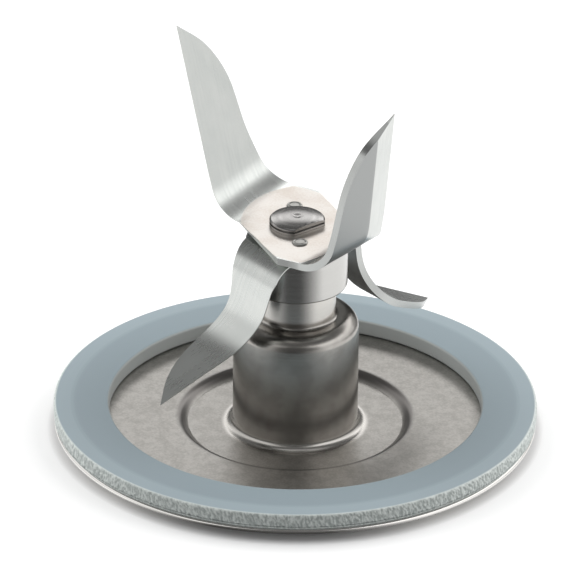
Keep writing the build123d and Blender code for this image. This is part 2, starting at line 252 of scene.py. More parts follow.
def smooth_curve(points: Sequence[Point], per_span: int = 12) -> list[Vector]:
    """Draw a smooth curve through points, spaced by the chords between them.

    Args:
        points: The points that the curve passes.
        per_span: How many steps lie between two of them.

    Returns:
        Close points along the curve.
    """
    given = [Vector(p) for p in points]
    ends = [2 * given[0] - given[1], *given, 2 * given[-1] - given[-2]]
    curve = [given[0]]
    for a, b, c, d in zip(ends, ends[1:], ends[2:], ends[3:]):
        chord = (c - b).length
        slope_in = ((b - a) / (b - a).length + (c - b) / chord) / 2
        slope_out = ((c - b) / chord + (d - c) / (d - c).length) / 2
        for i in range(1, per_span + 1):
            t = i / per_span
            eased = t * t * (3 - 2 * t)
            lift = slope_in * t * (1 - t) ** 2 - slope_out * t * t * (1 - t)
            curve.append(b.lerp(c, eased) + lift * chord)
    return curve


def height_at(curve: Sequence[Vector], x: float) -> float:
    """Read a curve's second coordinate at a value of its first.

    Args:
        curve: Points whose first coordinate runs one way.
        x: The first coordinate.

    Returns:
        The second coordinate there, or the nearest end's.
    """
    ordered = sorted(curve, key=lambda p: p.x)
    for a, b in zip(ordered, ordered[1:]):
        if x <= b.x:
            share = (x - a.x) / max(TINY, b.x - a.x)
            return a.y + (b.y - a.y) * max(0.0, share)
    return ordered[-1].y


def spin_profile(profile: Sequence[Vector], segments: int) -> bmesh.types.BMesh:
    """Spin a closed profile of radius and height round the axis.

    Args:
        profile: The profile's points; ones on the axis become poles.
        segments: How many steps make a full turn.

    Returns:
        A closed mesh in millimetres.
    """
    mesh = bmesh.new()
    rings = []
    for point in profile:
        if point.x < TINY:
            rings.append([mesh.verts.new((0, 0, point.y))] * segments)
            continue
        turns = [2 * math.pi * i / segments for i in range(segments)]
        rings.append([mesh.verts.new((point.x * math.cos(t), point.x * math.sin(t), point.y)) for t in turns])
    for lower, upper in zip(rings, rings[1:] + rings[:1]):
        for i in range(segments):
            j = (i + 1) % segments
            corners = list(dict.fromkeys((lower[i], lower[j], upper[j], upper[i])))
            if len(corners) > 2:
                mesh.faces.new(corners)
    return mesh


@dataclass(frozen=True)
class Finish:
    """A real material and process, drawn as a procedural shader."""

    name: str

    def build(self) -> bpy.types.Material:
        """Make the material, unless it is there already.

        Returns:
            The material.
        """
        made = bpy.data.materials.get(self.name)
        if made is None:
            made = bpy.data.materials.new(self.name)
            made.use_nodes = True
            tree = made.node_tree
            tree.nodes.clear()
            shader = add_node(tree, "ShaderNodeBsdfPrincipled", self.looks(tree))
            add_node(tree, "ShaderNodeOutputMaterial", {"Surface": shader.outputs[0]})
        return made

    def looks(self, tree: bpy.types.NodeTree) -> dict[str, Any]:
        """Draw the patterns in the material's tree, and return the shader's inputs by name."""
        raise NotImplementedError

    def coated(self, tree: bpy.types.NodeTree, skin: Skin, *coats: Coat) -> Skin:
        """Lay coats over a skin, each over the ones before it.

        Args:
            tree: The material's node tree.
            skin: The bare colour and roughness.
            *coats: Where each coat lies, as a share, then its colour and its roughness.

        Returns:
            The colour and roughness of the whole.
        """
        colour, rough = skin
        for share, coat_colour, coat_rough in coats:
            colours = {"Factor": share, "A": colour, "B": coat_colour}
            colour = add_node(tree, "ShaderNodeMix", colours, data_type="RGBA").outputs["Result"]
            # A coat that is as rough as what it covers leaves the roughness alone.
            if coat_rough != rough:
                levels = {"Factor": share, "A": rough, "B": coat_rough}
                rough = add_node(tree, "ShaderNodeMix", levels).outputs[0]
        return colour, rough


@dataclass(frozen=True)
class PlainFinish(Finish):
    """An even finish, for pieces whose surface shows no pattern at this distance."""

    colour: str
    roughness: float
    metallic: float = 1.0

    def looks(self, tree: bpy.types.NodeTree) -> dict[str, Any]:
        """Return the shader's inputs, which are constants alone."""
        return {"Base Color": linear(self.colour), "Roughness": self.roughness, "Metallic": self.metallic}


@dataclass(frozen=True)
class DrawnSheetFinish(Finish):
    """Deep-drawn stainless sheet, tumbled after pressing.

    Tumbling peens the flat floor into soft grey blotches and specks, while the wall of the tower, ironed
    through the die, stays smoother and shows faint rings. The neck, the tower's foot and the rim are painted
    lighter as highlights, and the step round the floor is painted dark as a dark reflection.
    """

    floor_colour: str = "#C0BDB8"
    blotch_colour: str = "#ACA9A4"
    wall_colour: str = "#B0ADA8"
    smudge_colour: str = "#A4A09B"
    # Painted highlight: the neck is drawn lighter than the wall.
    neck_painted_highlight_colour: str = "#D0CDC8"
    # Painted dark reflection: the step round the floor is drawn dark.
    step_painted_reflection_colour: str = "#767370"
    # Painted highlight: the rim is drawn lighter, besides being smoother as a polished edge.
    rim_painted_highlight_colour: str = "#E0DEDA"
    # Painted highlight: the tower's foot fillet is drawn lighter than the wall.
    foot_painted_highlight_colour: str = "#BBB8B3"
    smudge: float = 4.0
    blotch: float = 2.0
    speck: float = 0.42
    wall_radius: float = 14.6
    neck_start: float = 27.6
    foot_height: float = 2.4
    step_middle: float = 23.5
    step_half: float = 0.5
    rim_radius: float = 48.8
    ring_pitch: float = 0.5
    feather: float = 0.8
    step_feather: float = 1.0
    rim_feather: float = 0.3
    neck_feather: float = 0.6
    mottle_range: Point = (0.78, 1.22)
    smudge_range: Point = (0.42, 0.62)
    relief: float = 0.03
    relief_strength: float = 0.25
    floor_roughness: float = 0.40
    wall_roughness: float = 0.27
    foot_roughness: float = 0.25
    step_roughness: float = 0.3
    rim_roughness: float = 0.14

    def looks(self, tree: bpy.types.NodeTree) -> dict[str, Any]:
        """Mottle the floor and ring the wall.

        Args:
            tree: The material's node tree.

        Returns:
            The shader's inputs by name.
        """
        place = add_node(tree, "ShaderNodeTexCoord").outputs["Object"]
        radius, height = polar(tree, place)
        # Real tumbling specks are about a tenth of this, too fine for the picture, so they are drawn coarser.
        noises = []
        for size, detail in ((self.blotch, 3.0), (self.speck, 2.0), (self.smudge, 4.0)):
            grain = {"Vector": place, "Scale": 1 / (size * MM), "Detail": detail}
            noises.append(add_node(tree, "ShaderNodeTexNoise", grain).outputs["Fac"])
        blotches, specks, smudges = noises
        both = add_node(tree, "ShaderNodeMath", {0: blotches, 1: specks}, operation="ADD").outputs[0]
        masks = []
        for value, start, end in (
            (both, *self.mottle_range),
            (smudges, *self.smudge_range),
            (radius, self.rim_radius * MM, (self.rim_radius + self.rim_feather) * MM),
            (height, (self.foot_height + self.feather) * MM, self.foot_height * MM),
            (height, self.neck_start * MM, (self.neck_start + self.neck_feather) * MM),
            (radius, (self.wall_radius + self.feather) * MM, self.wall_radius * MM),
        ):
            ends = {"Value": value, "From Min": start, "From Max": end}
            masks.append(add_node(tree, "ShaderNodeMapRange", ends).outputs[0])
        mottle, smudged, on_rim, on_foot, on_neck, on_wall = masks
        from_step = add_node(
            tree, "ShaderNodeMath", {0: radius, 1: self.step_middle * MM}, operation="SUBTRACT"
        ).outputs[0]
        off_step = add_node(tree, "ShaderNodeMath", {0: from_step}, operation="ABSOLUTE").outputs[0]
        step_end = self.step_half + self.step_feather
        ends = {"Value": off_step, "From Min": step_end * MM, "From Max": self.step_half * MM}
        on_step = add_node(tree, "ShaderNodeMapRange", ends, interpolation_type="SMOOTHSTEP").outputs[0]
        floor = self.coated(
            tree,
            (linear(self.blotch_colour), self.floor_roughness),
            (mottle, linear(self.floor_colour), self.floor_roughness),
            # Painted dark reflection on the step.
            (on_step, linear(self.step_painted_reflection_colour), self.step_roughness),
            # Painted highlight on the rim, which is also polished smoother.
            (on_rim, linear(self.rim_painted_highlight_colour), self.rim_roughness),
        )
        wall = self.coated(
            tree,
            (linear(self.wall_colour), self.wall_roughness),
            (smudged, linear(self.smudge_colour), self.wall_roughness),
            # Painted highlight on the foot fillet, which is also smoother.
            (on_foot, linear(self.foot_painted_highlight_colour), self.foot_roughness),
            # Painted highlight on the neck.
            (on_neck, linear(self.neck_painted_highlight_colour), self.wall_roughness),
        )
        colour, rough = self.coated(tree, floor, (on_wall, *wall))
        peened = add_node(tree, "ShaderNodeMix", {"Factor": on_step, "A": both, "B": 1.0}).outputs[0]
        rings = turned_rings(tree, radius, height, self.ring_pitch, detail=2.0)
        relief = add_node(tree, "ShaderNodeMix", {"Factor": on_wall, "A": peened, "B": rings}).outputs[0]
        raised = {"Height": relief, "Strength": self.relief_strength, "Distance": self.relief * MM}
        normal = add_node(tree, "ShaderNodeBump", raised).outputs[0]
        return {"Base Color": colour, "Roughness": rough, "Metallic": 1.0, "Normal": normal}


@dataclass(frozen=True)
class GroundSheetFinish(Finish):
    """Rolled stainless sheet, belt-polished along the arms, with a bead-blasted seat round the shaft.

    The belt leaves faint streaks along an arm and soft clouds in its shine. The blasted seat is a pale, even
    matt, masked off by two wide arcs that meet the sides of the blade. A seat radius of 0 leaves it out.
    """

    colour: str = "#CDCFCC"
    streak_colour: str = "#C7CAC7"
    # Mill skin, painted darker as a dark reflection.
    mill_skin_and_dark_reflection_colour: str = "#979998"
    # Tumbled sheared sides, painted a little darker as shade.
    edge_tumbled_and_shade_colour: str = "#BABCBA"
    bevel: float = UPPER_BEVEL
    seat_colour: str = "#EAE5DF"
    stain_colour: str = "#DCD3CA"
    streak: float = 0.5
    streak_length: float = 30.0
    cloud: float = 7.0
    seat_radius: float = 0.0
    seat_shift: Point = (6.2, 4.3)
    grit: float = 0.45
    roughness: float = 0.23
    mill_roughness: float = 0.36
    edge_roughness: float = 0.27
    seat_roughness: float = 0.34
    roughness_spread: Point = (-0.05, 0.06)
    relief: float = 0.015
    relief_strength: float = 0.06
    feather: float = 0.2
    cloud_share: float = 0.6
    stain_range: Point = (0.38, 0.58)
    worn_range: Point = (0.38, 0.62)

    def looks(self, tree: bpy.types.NodeTree) -> dict[str, Any]:
        """Streak the arms and matt the seat.

        Args:
            tree: The material's node tree.

        Returns:
            The shader's inputs by name.
        """
        coordinates = add_node(tree, "ShaderNodeTexCoord").outputs
        place, arm_map = coordinates["Object"], coordinates["UV"]
        fibre = (1 / (self.streak_length * MM), 1 / (self.streak * MM), 0)
        stretched = add_node(
            tree, "ShaderNodeVectorMath", {0: arm_map, 1: fibre}, operation="MULTIPLY"
        ).outputs[0]
        # Blasting leaves pits of a few hundredths, so the grit is drawn coarser to show at this distance.
        noises = []
        for at, scale, detail in (
            (stretched, 1.0, 3.0),
            (place, 1 / (self.grit * MM), 4.0),
            (place, 1 / (self.cloud * MM), 3.0),
        ):
            grain = {"Vector": at, "Scale": scale, "Detail": detail}
            noises.append(add_node(tree, "ShaderNodeTexNoise", grain).outputs["Fac"])
        streaks, grit, clouds = noises
        stained, uneven = [
            add_node(tree, "ShaderNodeMix", {"Factor": self.cloud_share, "A": fine, "B": clouds}).outputs[0]
            for fine in (grit, streaks)
        ]
        flat = add_node(tree, "ShaderNodeVectorMath", {0: place, 1: LEVEL}, operation="MULTIPLY").outputs[0]
        shift = Vector((*self.seat_shift, 0)) * MM
        near_arc, far_arc = [
            add_node(tree, "ShaderNodeVectorMath", {0: flat, 1: centre}, operation="DISTANCE").outputs["Value"]
            for centre in (shift, -shift)
        ]
        farther = add_node(tree, "ShaderNodeMath", {0: near_arc, 1: far_arc}, operation="MAXIMUM").outputs[0]
        across = add_node(tree, "ShaderNodeSeparateXYZ", {0: arm_map}).outputs["Y"]
        # The under face keeps the duller skin of the mill, except where the bevel is ground, and is painted
        # darker there as a dark reflection.
        mill_start = -(self.bevel + BLADE_SHEET)
        masks = []
        for value, start, end in (
            (stained, *self.stain_range),
            (uneven, *self.worn_range),
            (farther, (self.seat_radius + self.feather) * MM, (self.seat_radius - self.feather) * MM),
            (across, mill_start * MM, (mill_start - self.feather) * MM),
        ):
            ends = {"Value": value, "From Min": start, "From Max": end}
            masks.append(add_node(tree, "ShaderNodeMapRange", ends).outputs[0])
        stain, worn, inside, on_mill = masks
        on_top = add_node(
            tree, "ShaderNodeMath", {0: across, 1: -self.feather * MM}, operation="GREATER_THAN"
        ).outputs[0]
        seat = add_node(tree, "ShaderNodeMath", {0: inside, 1: on_top}, operation="MULTIPLY").outputs[0]
        # The sheared sides are tumbled, and painted a little darker than the faces as shade; the map marks them
        # by a place far below the under face.
        on_edge = add_node(
            tree, "ShaderNodeMath", {0: across, 1: -EDGE_MARK / 2 * MM}, operation="LESS_THAN"
        ).outputs[0]
        smoothest, roughest = [self.roughness + r for r in self.roughness_spread]
        polished = add_node(
            tree,
            "ShaderNodeMapRange",
            {
                "Value": uneven,
                "From Min": NOISE_RANGE[0],
                "From Max": NOISE_RANGE[1],
                "To Min": smoothest,
                "To Max": roughest,
            },
        ).outputs[0]
        blasted = self.coated(
            tree,
            (linear(self.stain_colour), self.seat_roughness),
            (stain, linear(self.seat_colour), self.seat_roughness),
        )
        colour, rough = self.coated(
            tree,
            (linear(self.colour), polished),
            (worn, linear(self.streak_colour), polished),
            # Mill skin, partly a painted dark reflection.
            (on_mill, linear(self.mill_skin_and_dark_reflection_colour), self.mill_roughness),
            (on_edge, linear(self.edge_tumbled_and_shade_colour), self.edge_roughness),
            (seat, *blasted),
        )
        pits = add_node(tree, "ShaderNodeMath", {0: seat, 1: grit}, operation="MULTIPLY").outputs[0]
        raised = {"Height": pits, "Strength": self.relief_strength, "Distance": self.relief * MM}
        normal = add_node(tree, "ShaderNodeBump", raised).outputs[0]
        return {"Base Color": colour, "Roughness": rough, "Metallic": 1.0, "Normal": normal}


@dataclass(frozen=True)
class TurnedBarFinish(Finish):
    """Stainless bar turned on a lathe, which leaves rings that follow the tool round the axis."""

    colour: str = "#C2C1BE"
    ring_pitch: float = 0.4
    roughness: float = 0.2
    roughness_spread: Point = (-0.05, 0.07)
    relief: float = 0.01
    relief_strength: float = 0.3

    def looks(self, tree: bpy.types.NodeTree) -> dict[str, Any]:
        """Ring the surface along radius and height.

        Args:
            tree: The material's node tree.

        Returns:
            The shader's inputs by name.
        """
        radius, height = polar(tree, add_node(tree, "ShaderNodeTexCoord").outputs["Object"])
        # Tool marks are a few hundredths apart, so fewer and wider rings stand for them.
        rings = turned_rings(tree, radius, height, self.ring_pitch, detail=3.0)
        smoothest, roughest = [self.roughness + r for r in self.roughness_spread]
        rough = add_node(
            tree,
            "ShaderNodeMapRange",
            {
                "Value": rings,
                "From Min": NOISE_RANGE[0],
                "From Max": NOISE_RANGE[1],
                "To Min": smoothest,
                "To Max": roughest,
            },
        ).outputs[0]
        raised = {"Height": rings, "Strength": self.relief_strength, "Distance": self.relief * MM}
        normal = add_node(tree, "ShaderNodeBump", raised).outputs[0]
        return {"Base Color": linear(self.colour), "Roughness": rough, "Metallic": 1.0, "Normal": normal}


@dataclass(frozen=True)
class SiliconeFinish(Finish):
    """Moulded silicone: a dull blue-grey skin with a chalky creased wall, painted paler outside the jar's seat
    as light, with a painted reflection of the warm steel on the bore and painted shade in the creases.
    """

    seat_colour: str = "#8A979D"
    # Painted light: the zone outside the jar's seat is drawn paler.
    outer_painted_light_colour: str = "#96A3A9"
    # Painted reflection: the bore is drawn warmer and lighter, as the steel it faces.
    bore_painted_reflection_colour: str = "#A8ACAA"
    wall_colour: str = "#D2D8D5"
    # Painted shade: the creases are drawn darker.
    crease_painted_shade_colour: str = "#A2A9A7"
    bore_radius: float = 38.55
    seat_radius: float = 46.0
    outer_radius: float = 50.0
    ring_pitch: float = 0.9
    ring_sway: float = 0.35
    seat_feather: Point = (-0.7, 0.7)
    bore_feather: Point = (0.4, 0.1)
    wall_feather: Point = (-0.6, -0.25)
    roughness: float = 0.55
    refraction: float = 1.41

    def looks(self, tree: bpy.types.NodeTree) -> dict[str, Any]:
        """Zone the flat face with painted light, paint the steel's reflection on the bore and paint shade in
        the wall's creases.

        Args:
            tree: The material's node tree.

        Returns:
            The shader's inputs by name.
        """
        radius, _ = polar(tree, add_node(tree, "ShaderNodeTexCoord").outputs["Object"])
        # The jar's lip has pressed faint rings into its seat.
        rings = turned_rings(tree, radius, 0.0, self.ring_pitch, detail=2.0)
        sway = add_node(
            tree,
            "ShaderNodeMapRange",
            {
                "Value": rings,
                "From Min": NOISE_RANGE[0],
                "From Max": NOISE_RANGE[1],
                "To Min": -self.ring_sway * MM,
                "To Max": self.ring_sway * MM,
            },
        ).outputs[0]
        pressed = add_node(tree, "ShaderNodeMath", {0: radius, 1: sway}, operation="ADD").outputs[0]
        masks = []
        for value, middle, (start, end) in (
            (pressed, self.seat_radius, self.seat_feather),
            (radius, self.bore_radius, self.bore_feather),
            (radius, self.outer_radius, self.wall_feather),
        ):
            ends = {"Value": value, "From Min": (middle + start) * MM, "From Max": (middle + end) * MM}
            masks.append(add_node(tree, "ShaderNodeMapRange", ends).outputs[0])
        outside, in_bore, on_wall = masks
        crease = add_node(tree, "ShaderNodeAttribute", attribute_name="crease").outputs["Fac"]
        dull = self.roughness
        # Painted shade darkens the creases.
        wall = self.coated(tree, (linear(self.wall_colour), dull), (crease, linear(self.crease_painted_shade_colour), dull))
        colour, rough = self.coated(
            tree,
            (linear(self.seat_colour), dull),
            # Painted light on the outer zone.
            (outside, linear(self.outer_painted_light_colour), dull),
            # Painted reflection of the warm steel on the bore.
            (in_bore, linear(self.bore_painted_reflection_colour), dull),
            (on_wall, *wall),
        )
        return {"Base Color": colour, "Roughness": rough, "IOR": self.refraction}


PLATE_STEEL = DrawnSheetFinish("drawn_stainless_tumbled")
UPPER_BLADE_STEEL = GroundSheetFinish("stainless_sheet_belt_polished_blasted_seat", seat_radius=19.1)
LOWER_BLADE_STEEL = GroundSheetFinish("stainless_sheet_belt_polished", bevel=LOWER_BEVEL, roughness=0.27)
COLLAR_STEEL = TurnedBarFinish("stainless_bar_turned")
# A formed head is burnished by its die, so its rings are shallow and its shine is deeper and darker.
HEAD_STEEL = TurnedBarFinish(
    "stainless_bar_headed", colour="#A19F9D", ring_pitch=0.8, roughness=0.22, relief=0.003
)
# Upset rivets keep the grey, slightly rough skin of the drawn wire.
RIVET_STEEL = TurnedBarFinish("stainless_wire_upset", colour="#A9A8A4", ring_pitch=0.3, roughness=0.3)
SILICONE = SiliconeFinish("silicone_moulded")
# Ground and honed bearing steel is near a mirror, with the cool tone of chrome steel.
BEARING_STEEL = PlainFinish("chrome_steel_ground", "#C4C5C7", roughness=0.12)
# Phosphate leaves spring steel an even, dull charcoal.
SPRING_STEEL = PlainFinish("spring_steel_phosphated", "#4A4A4B", roughness=0.5, metallic=0.6)
# Moulded nitrile is black with a faint sheen.
NITRILE = PlainFinish("nitrile_rubber_moulded", "#1B1B1C", roughness=0.6, metallic=0.0)


@dataclass(frozen=True)
class Piece:
    """A finished mesh that stands for CAD nodes and rides on a body."""

    name: str
    nodes: tuple[str, ...]
    body: Body
    slot: Slot
    finish: Finish
    edge: float = 0.1
    sharp_angle: float = 32.0
    weld: float = 0.002
    sliver: float = 0.001

    def mesh(self) -> bmesh.types.BMesh:
        """Build the bare mesh, in millimetres."""
        raise NotImplementedError

    def dress(self, obj: bpy.types.Object) -> None:
        """Break the sharp edges, as deburring does.

        Args:
            obj: The bare object.
        """
        if self.edge > 0:
            bevel = obj.modifiers.new("broken_edges", "BEVEL")
            bevel.width = self.edge * MM
            bevel.segments = 2
            bevel.limit_method = "ANGLE"
            bevel.angle_limit = math.radians(self.sharp_angle)

    def apply_group(self, obj: bpy.types.Object, group: bpy.types.NodeTree, settings: dict[str, Any]) -> None:
        """Run a node group on the object and keep the mesh that it makes.

        Args:
            obj: The object, whose material the group is given too.
            group: The node group.
            settings: Values by the name of the group's input.
        """
        modifier = obj.modifiers.new(group.name, "NODES")
        modifier.node_group = group
        values = {**settings, "Material": obj.data.materials[0]}
        for socket in group.interface.items_tree:
            if socket.name in values:
                modifier[socket.identifier] = values[socket.name]
        shown = obj.evaluated_get(bpy.context.evaluated_depsgraph_get())
        made = bpy.data.meshes.new_from_object(shown)
        obj.modifiers.remove(modifier)
        obj.data = made

    def place(self) -> bpy.types.Object:
        """Build, dress and seat the piece in the frame.

        Returns:
            The finished object.
        """
        built = self.mesh()
        bmesh.ops.remove_doubles(built, verts=built.verts, dist=self.weld)
        bmesh.ops.dissolve_degenerate(built, edges=built.edges, dist=self.sliver)
        bmesh.ops.recalc_face_normals(built, faces=built.faces)
        for edge in built.edges:
            edge.smooth = edge.calc_face_angle(0.0) < math.radians(self.sharp_angle)
        for face in built.faces:
            face.smooth = True
        built.transform(Matrix.Scale(MM, 4))
        data = bpy.data.meshes.new(self.name)
        built.to_mesh(data)
        built.free()
        obj = bpy.data.objects.new(self.name, data)
        bpy.context.scene.collection.objects.link(obj)
        data.materials.append(self.finish.build())
        self.dress(obj)
        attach(obj, self.body.value)
        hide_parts(*self.nodes)
        LOG.info("%s: %d faces, rides on %s", self.name, len(data.polygons), self.body.value)
        return obj


@dataclass(frozen=True)
class DrawnPlate(Piece):
    """The plate, tower and neck, drawn from one sheet."""

    plate_radius: float = 49.85
    sheet: float = 1.2
    rim_top: float = 2.7
    floor_radius: float = 22.2
    step_run: float = 1.6
    step_radius: float = 2.0
    step_foot_radius: float = 0.4
    tower_radius: float = 12.95
    foot_radius: float = 1.7
    shoulder_height: float = 26.4
    shoulder_radius: float = 3.0
    neck_radius: float = 8.15
    neck_foot_radius: float = 0.7
    neck_height: float = 38.0
    segments: int = 256

    def mesh(self) -> bmesh.types.BMesh:
        """Spin the sheet's line and its offset.

        Returns:
            The mesh, in millimetres.
        """
        upper = rounded_line(
            [
                (self.plate_radius, self.rim_top),
                (self.floor_radius + self.step_run, self.rim_top),
                (self.floor_radius, self.sheet),
                (self.tower_radius, self.sheet),
                (self.tower_radius, self.shoulder_height),
                (self.neck_radius, self.shoulder_height),
                (self.neck_radius, self.neck_height),
            ],
            [
                self.step_radius,
                self.step_foot_radius,
                self.foot_radius,
                self.shoulder_radius,
                self.neck_foot_radius,
            ],
        )
        under = offset_line(upper, self.sheet)
        return spin_profile(upper + under[::-1], self.segments)


@dataclass(frozen=True)
class SealRing(Piece):
    """The silicone ring on the rim, its outer wall creased where the jar's collar has pressed it."""

    outer_radius: float = 50.0
    width: float = 11.45
    bottom: float = 2.7
    thickness: float = 3.4
    edge_radius: float = 0.5
    foot_radius: float = 0.6
    crease_pitch: float = 0.42
    crease_run: float = 0.9
    crease_depth: float = 0.17
    crease_range: Point = (0.36, 0.64)
    crease_margin: float = 0.35
    lean_range: Point = (-4.0, 12.0)
    drift: float = 200 / 9
    wall_rows: int = 16
    segments: int = 2200

    def mesh(self) -> bmesh.types.BMesh:
        """Spin the ring's section, with close rows on the wall for the creases.

        Returns:
            The mesh, in millimetres.
        """
        inner = self.outer_radius - self.width
        top = self.bottom + self.thickness
        middle = self.outer_radius - self.width / 2
        corners = [
            (middle, self.bottom),
            (self.outer_radius, self.bottom),
            (self.outer_radius, top),
            (inner, top),
            (inner, self.bottom),
            (middle, self.bottom),
        ]
        radii = [self.foot_radius, self.edge_radius, self.edge_radius, self.foot_radius]
        section = rounded_line(corners, radii, step=15.0)
        wall_foot = self.bottom + self.foot_radius
        rise = self.thickness - self.foot_radius - self.edge_radius
        wall = [
            Vector((self.outer_radius, wall_foot + rise * i / self.wall_rows)) for i in range(1, self.wall_rows)
        ]
        below = [p for p in section if p.y <= wall_foot + TINY and p.x >= middle]
        rest = [p for p in section[:-1] if p not in below]
        return spin_profile(below + wall + rest, self.segments)

    def dress(self, obj: bpy.types.Object) -> None:
        """Crease the wall with a node group, then keep the creased mesh.

        Args:
            obj: The plain ring.
        """
        settings = {
            "Radius": self.outer_radius * MM,
            "Pitch": self.crease_pitch * MM,
            "Run": self.crease_run * MM,
            "Depth": self.crease_depth * MM,
            "Seed": float(SEED),
        }
        self.apply_group(obj, self.crease_group(), settings)

    def crease_group(self) -> bpy.types.NodeTree:
        """Make the node group that pulls the wall in along slanting creases.

        Returns:
            The node group, with its sizes as named inputs.
        """
        tree = new_group("wall_creases", dict.fromkeys(("Radius", "Pitch", "Run", "Depth", "Seed"), "Float"))
        given = add_node(tree, "NodeGroupInput").outputs
        place = add_node(tree, "GeometryNodeInputPosition").outputs[0]
        radius, height = polar(tree, place)
        # The creases lean one way and another round the ring, so a slow noise turns each height a little.
        slow = {"Vector": place, "Scale": 1 / (self.drift * MM), "Detail": 1.0}
        drift = add_node(tree, "ShaderNodeTexNoise", slow).outputs["Fac"]
        lean = add_node(
            tree,
            "ShaderNodeMapRange",
            {
                "Value": drift,
                "From Min": NOISE_RANGE[0],
                "From Max": NOISE_RANGE[1],
                "To Min": self.lean_range[0],
                "To Max": self.lean_range[1],
            },
        ).outputs[0]
        turn = add_node(tree, "ShaderNodeMath", {0: height, 1: lean}, operation="MULTIPLY").outputs[0]
        turned = {"Vector": place, "Angle": turn}
        leaning = add_node(tree, "ShaderNodeVectorRotate", turned, rotation_type="Z_AXIS").outputs[0]
        across = add_node(tree, "ShaderNodeMath", {0: 1.0, 1: given["Pitch"]}, operation="DIVIDE").outputs[0]
        along = add_node(tree, "ShaderNodeMath", {0: 1.0, 1: given["Run"]}, operation="DIVIDE").outputs[0]
        grain = add_node(tree, "ShaderNodeCombineXYZ", {"X": across, "Y": across, "Z": along}).outputs[0]
        stretched = add_node(
            tree, "ShaderNodeVectorMath", {0: leaning, 1: grain}, operation="MULTIPLY"
        ).outputs[0]
        wrinkled = {
            "Vector": stretched,
            "W": given["Seed"],
            "Scale": 1.0,
            "Detail": 2.0,
            "Roughness": 0.6,
        }
        creases = add_node(tree, "ShaderNodeTexNoise", wrinkled, noise_dimensions="4D").outputs["Fac"]
        sharp = add_node(
            tree,
            "ShaderNodeMapRange",
            {"Value": creases, "From Min": self.crease_range[0], "From Max": self.crease_range[1]},
            interpolation_type="SMOOTHSTEP",
        ).outputs[0]
        wall_start = add_node(
            tree, "ShaderNodeMath", {0: given["Radius"], 1: self.crease_margin * MM}, operation="SUBTRACT"
        ).outputs[0]
        on_wall = add_node(
            tree, "ShaderNodeMapRange", {"Value": radius, "From Min": wall_start, "From Max": given["Radius"]}
        ).outputs[0]
        masked = add_node(tree, "ShaderNodeMath", {0: sharp, 1: on_wall}, operation="MULTIPLY").outputs[0]
        depth = add_node(
            tree, "ShaderNodeMath", {0: masked, 1: given["Depth"]}, operation="MULTIPLY"
        ).outputs[0]
        inward = add_node(tree, "ShaderNodeMath", {0: depth, 1: -1.0}, operation="MULTIPLY").outputs[0]
        flat = add_node(tree, "ShaderNodeVectorMath", {0: place, 1: LEVEL}, operation="MULTIPLY").outputs[0]
        outward = add_node(tree, "ShaderNodeVectorMath", {0: flat}, operation="NORMALIZE").outputs[0]
        scaled = {0: outward, "Scale": inward}
        pull = add_node(tree, "ShaderNodeVectorMath", scaled, operation="SCALE").outputs[0]
        stored = {"Geometry": given["Geometry"], "Name": "crease", "Value": masked}
        marked = add_node(
            tree, "GeometryNodeStoreNamedAttribute", stored, data_type="FLOAT", domain="POINT"
        ).outputs[0]
        moved = add_node(tree, "GeometryNodeSetPosition", {"Geometry": marked, "Offset": pull}).outputs[0]
        covered = add_node(tree, "GeometryNodeSetMaterial", {"Geometry": moved, "Material": given["Material"]})
        add_node(tree, "NodeGroupOutput", {"Geometry": covered.outputs[0]})
        return tree


@dataclass(frozen=True)
class BladeCollar(Piece):
    """The collar that turns over the neck and carries the blades."""

    bore_radius: float = 4.02
    stem_radius: float = 5.2
    skirt_inside: float = 8.65
    radius: float = 10.5
    stem_bottom: float = 24.2
    skirt_top: float = 38.6
    bottom: float = 33.6
    top: float = 43.8
    segments: int = 192

    def mesh(self) -> bmesh.types.BMesh:
        """Spin the collar's section.

        Returns:
            The mesh, in millimetres.
        """
        section = [
            (self.bore_radius, self.stem_bottom),
            (self.stem_radius, self.stem_bottom),
            (self.stem_radius, self.skirt_top),
            (self.skirt_inside, self.skirt_top),
            (self.skirt_inside, self.bottom),
            (self.radius, self.bottom),
            (self.radius, self.top),
            (self.bore_radius, self.top),
        ]
        return spin_profile([Vector(p) for p in section], self.segments)


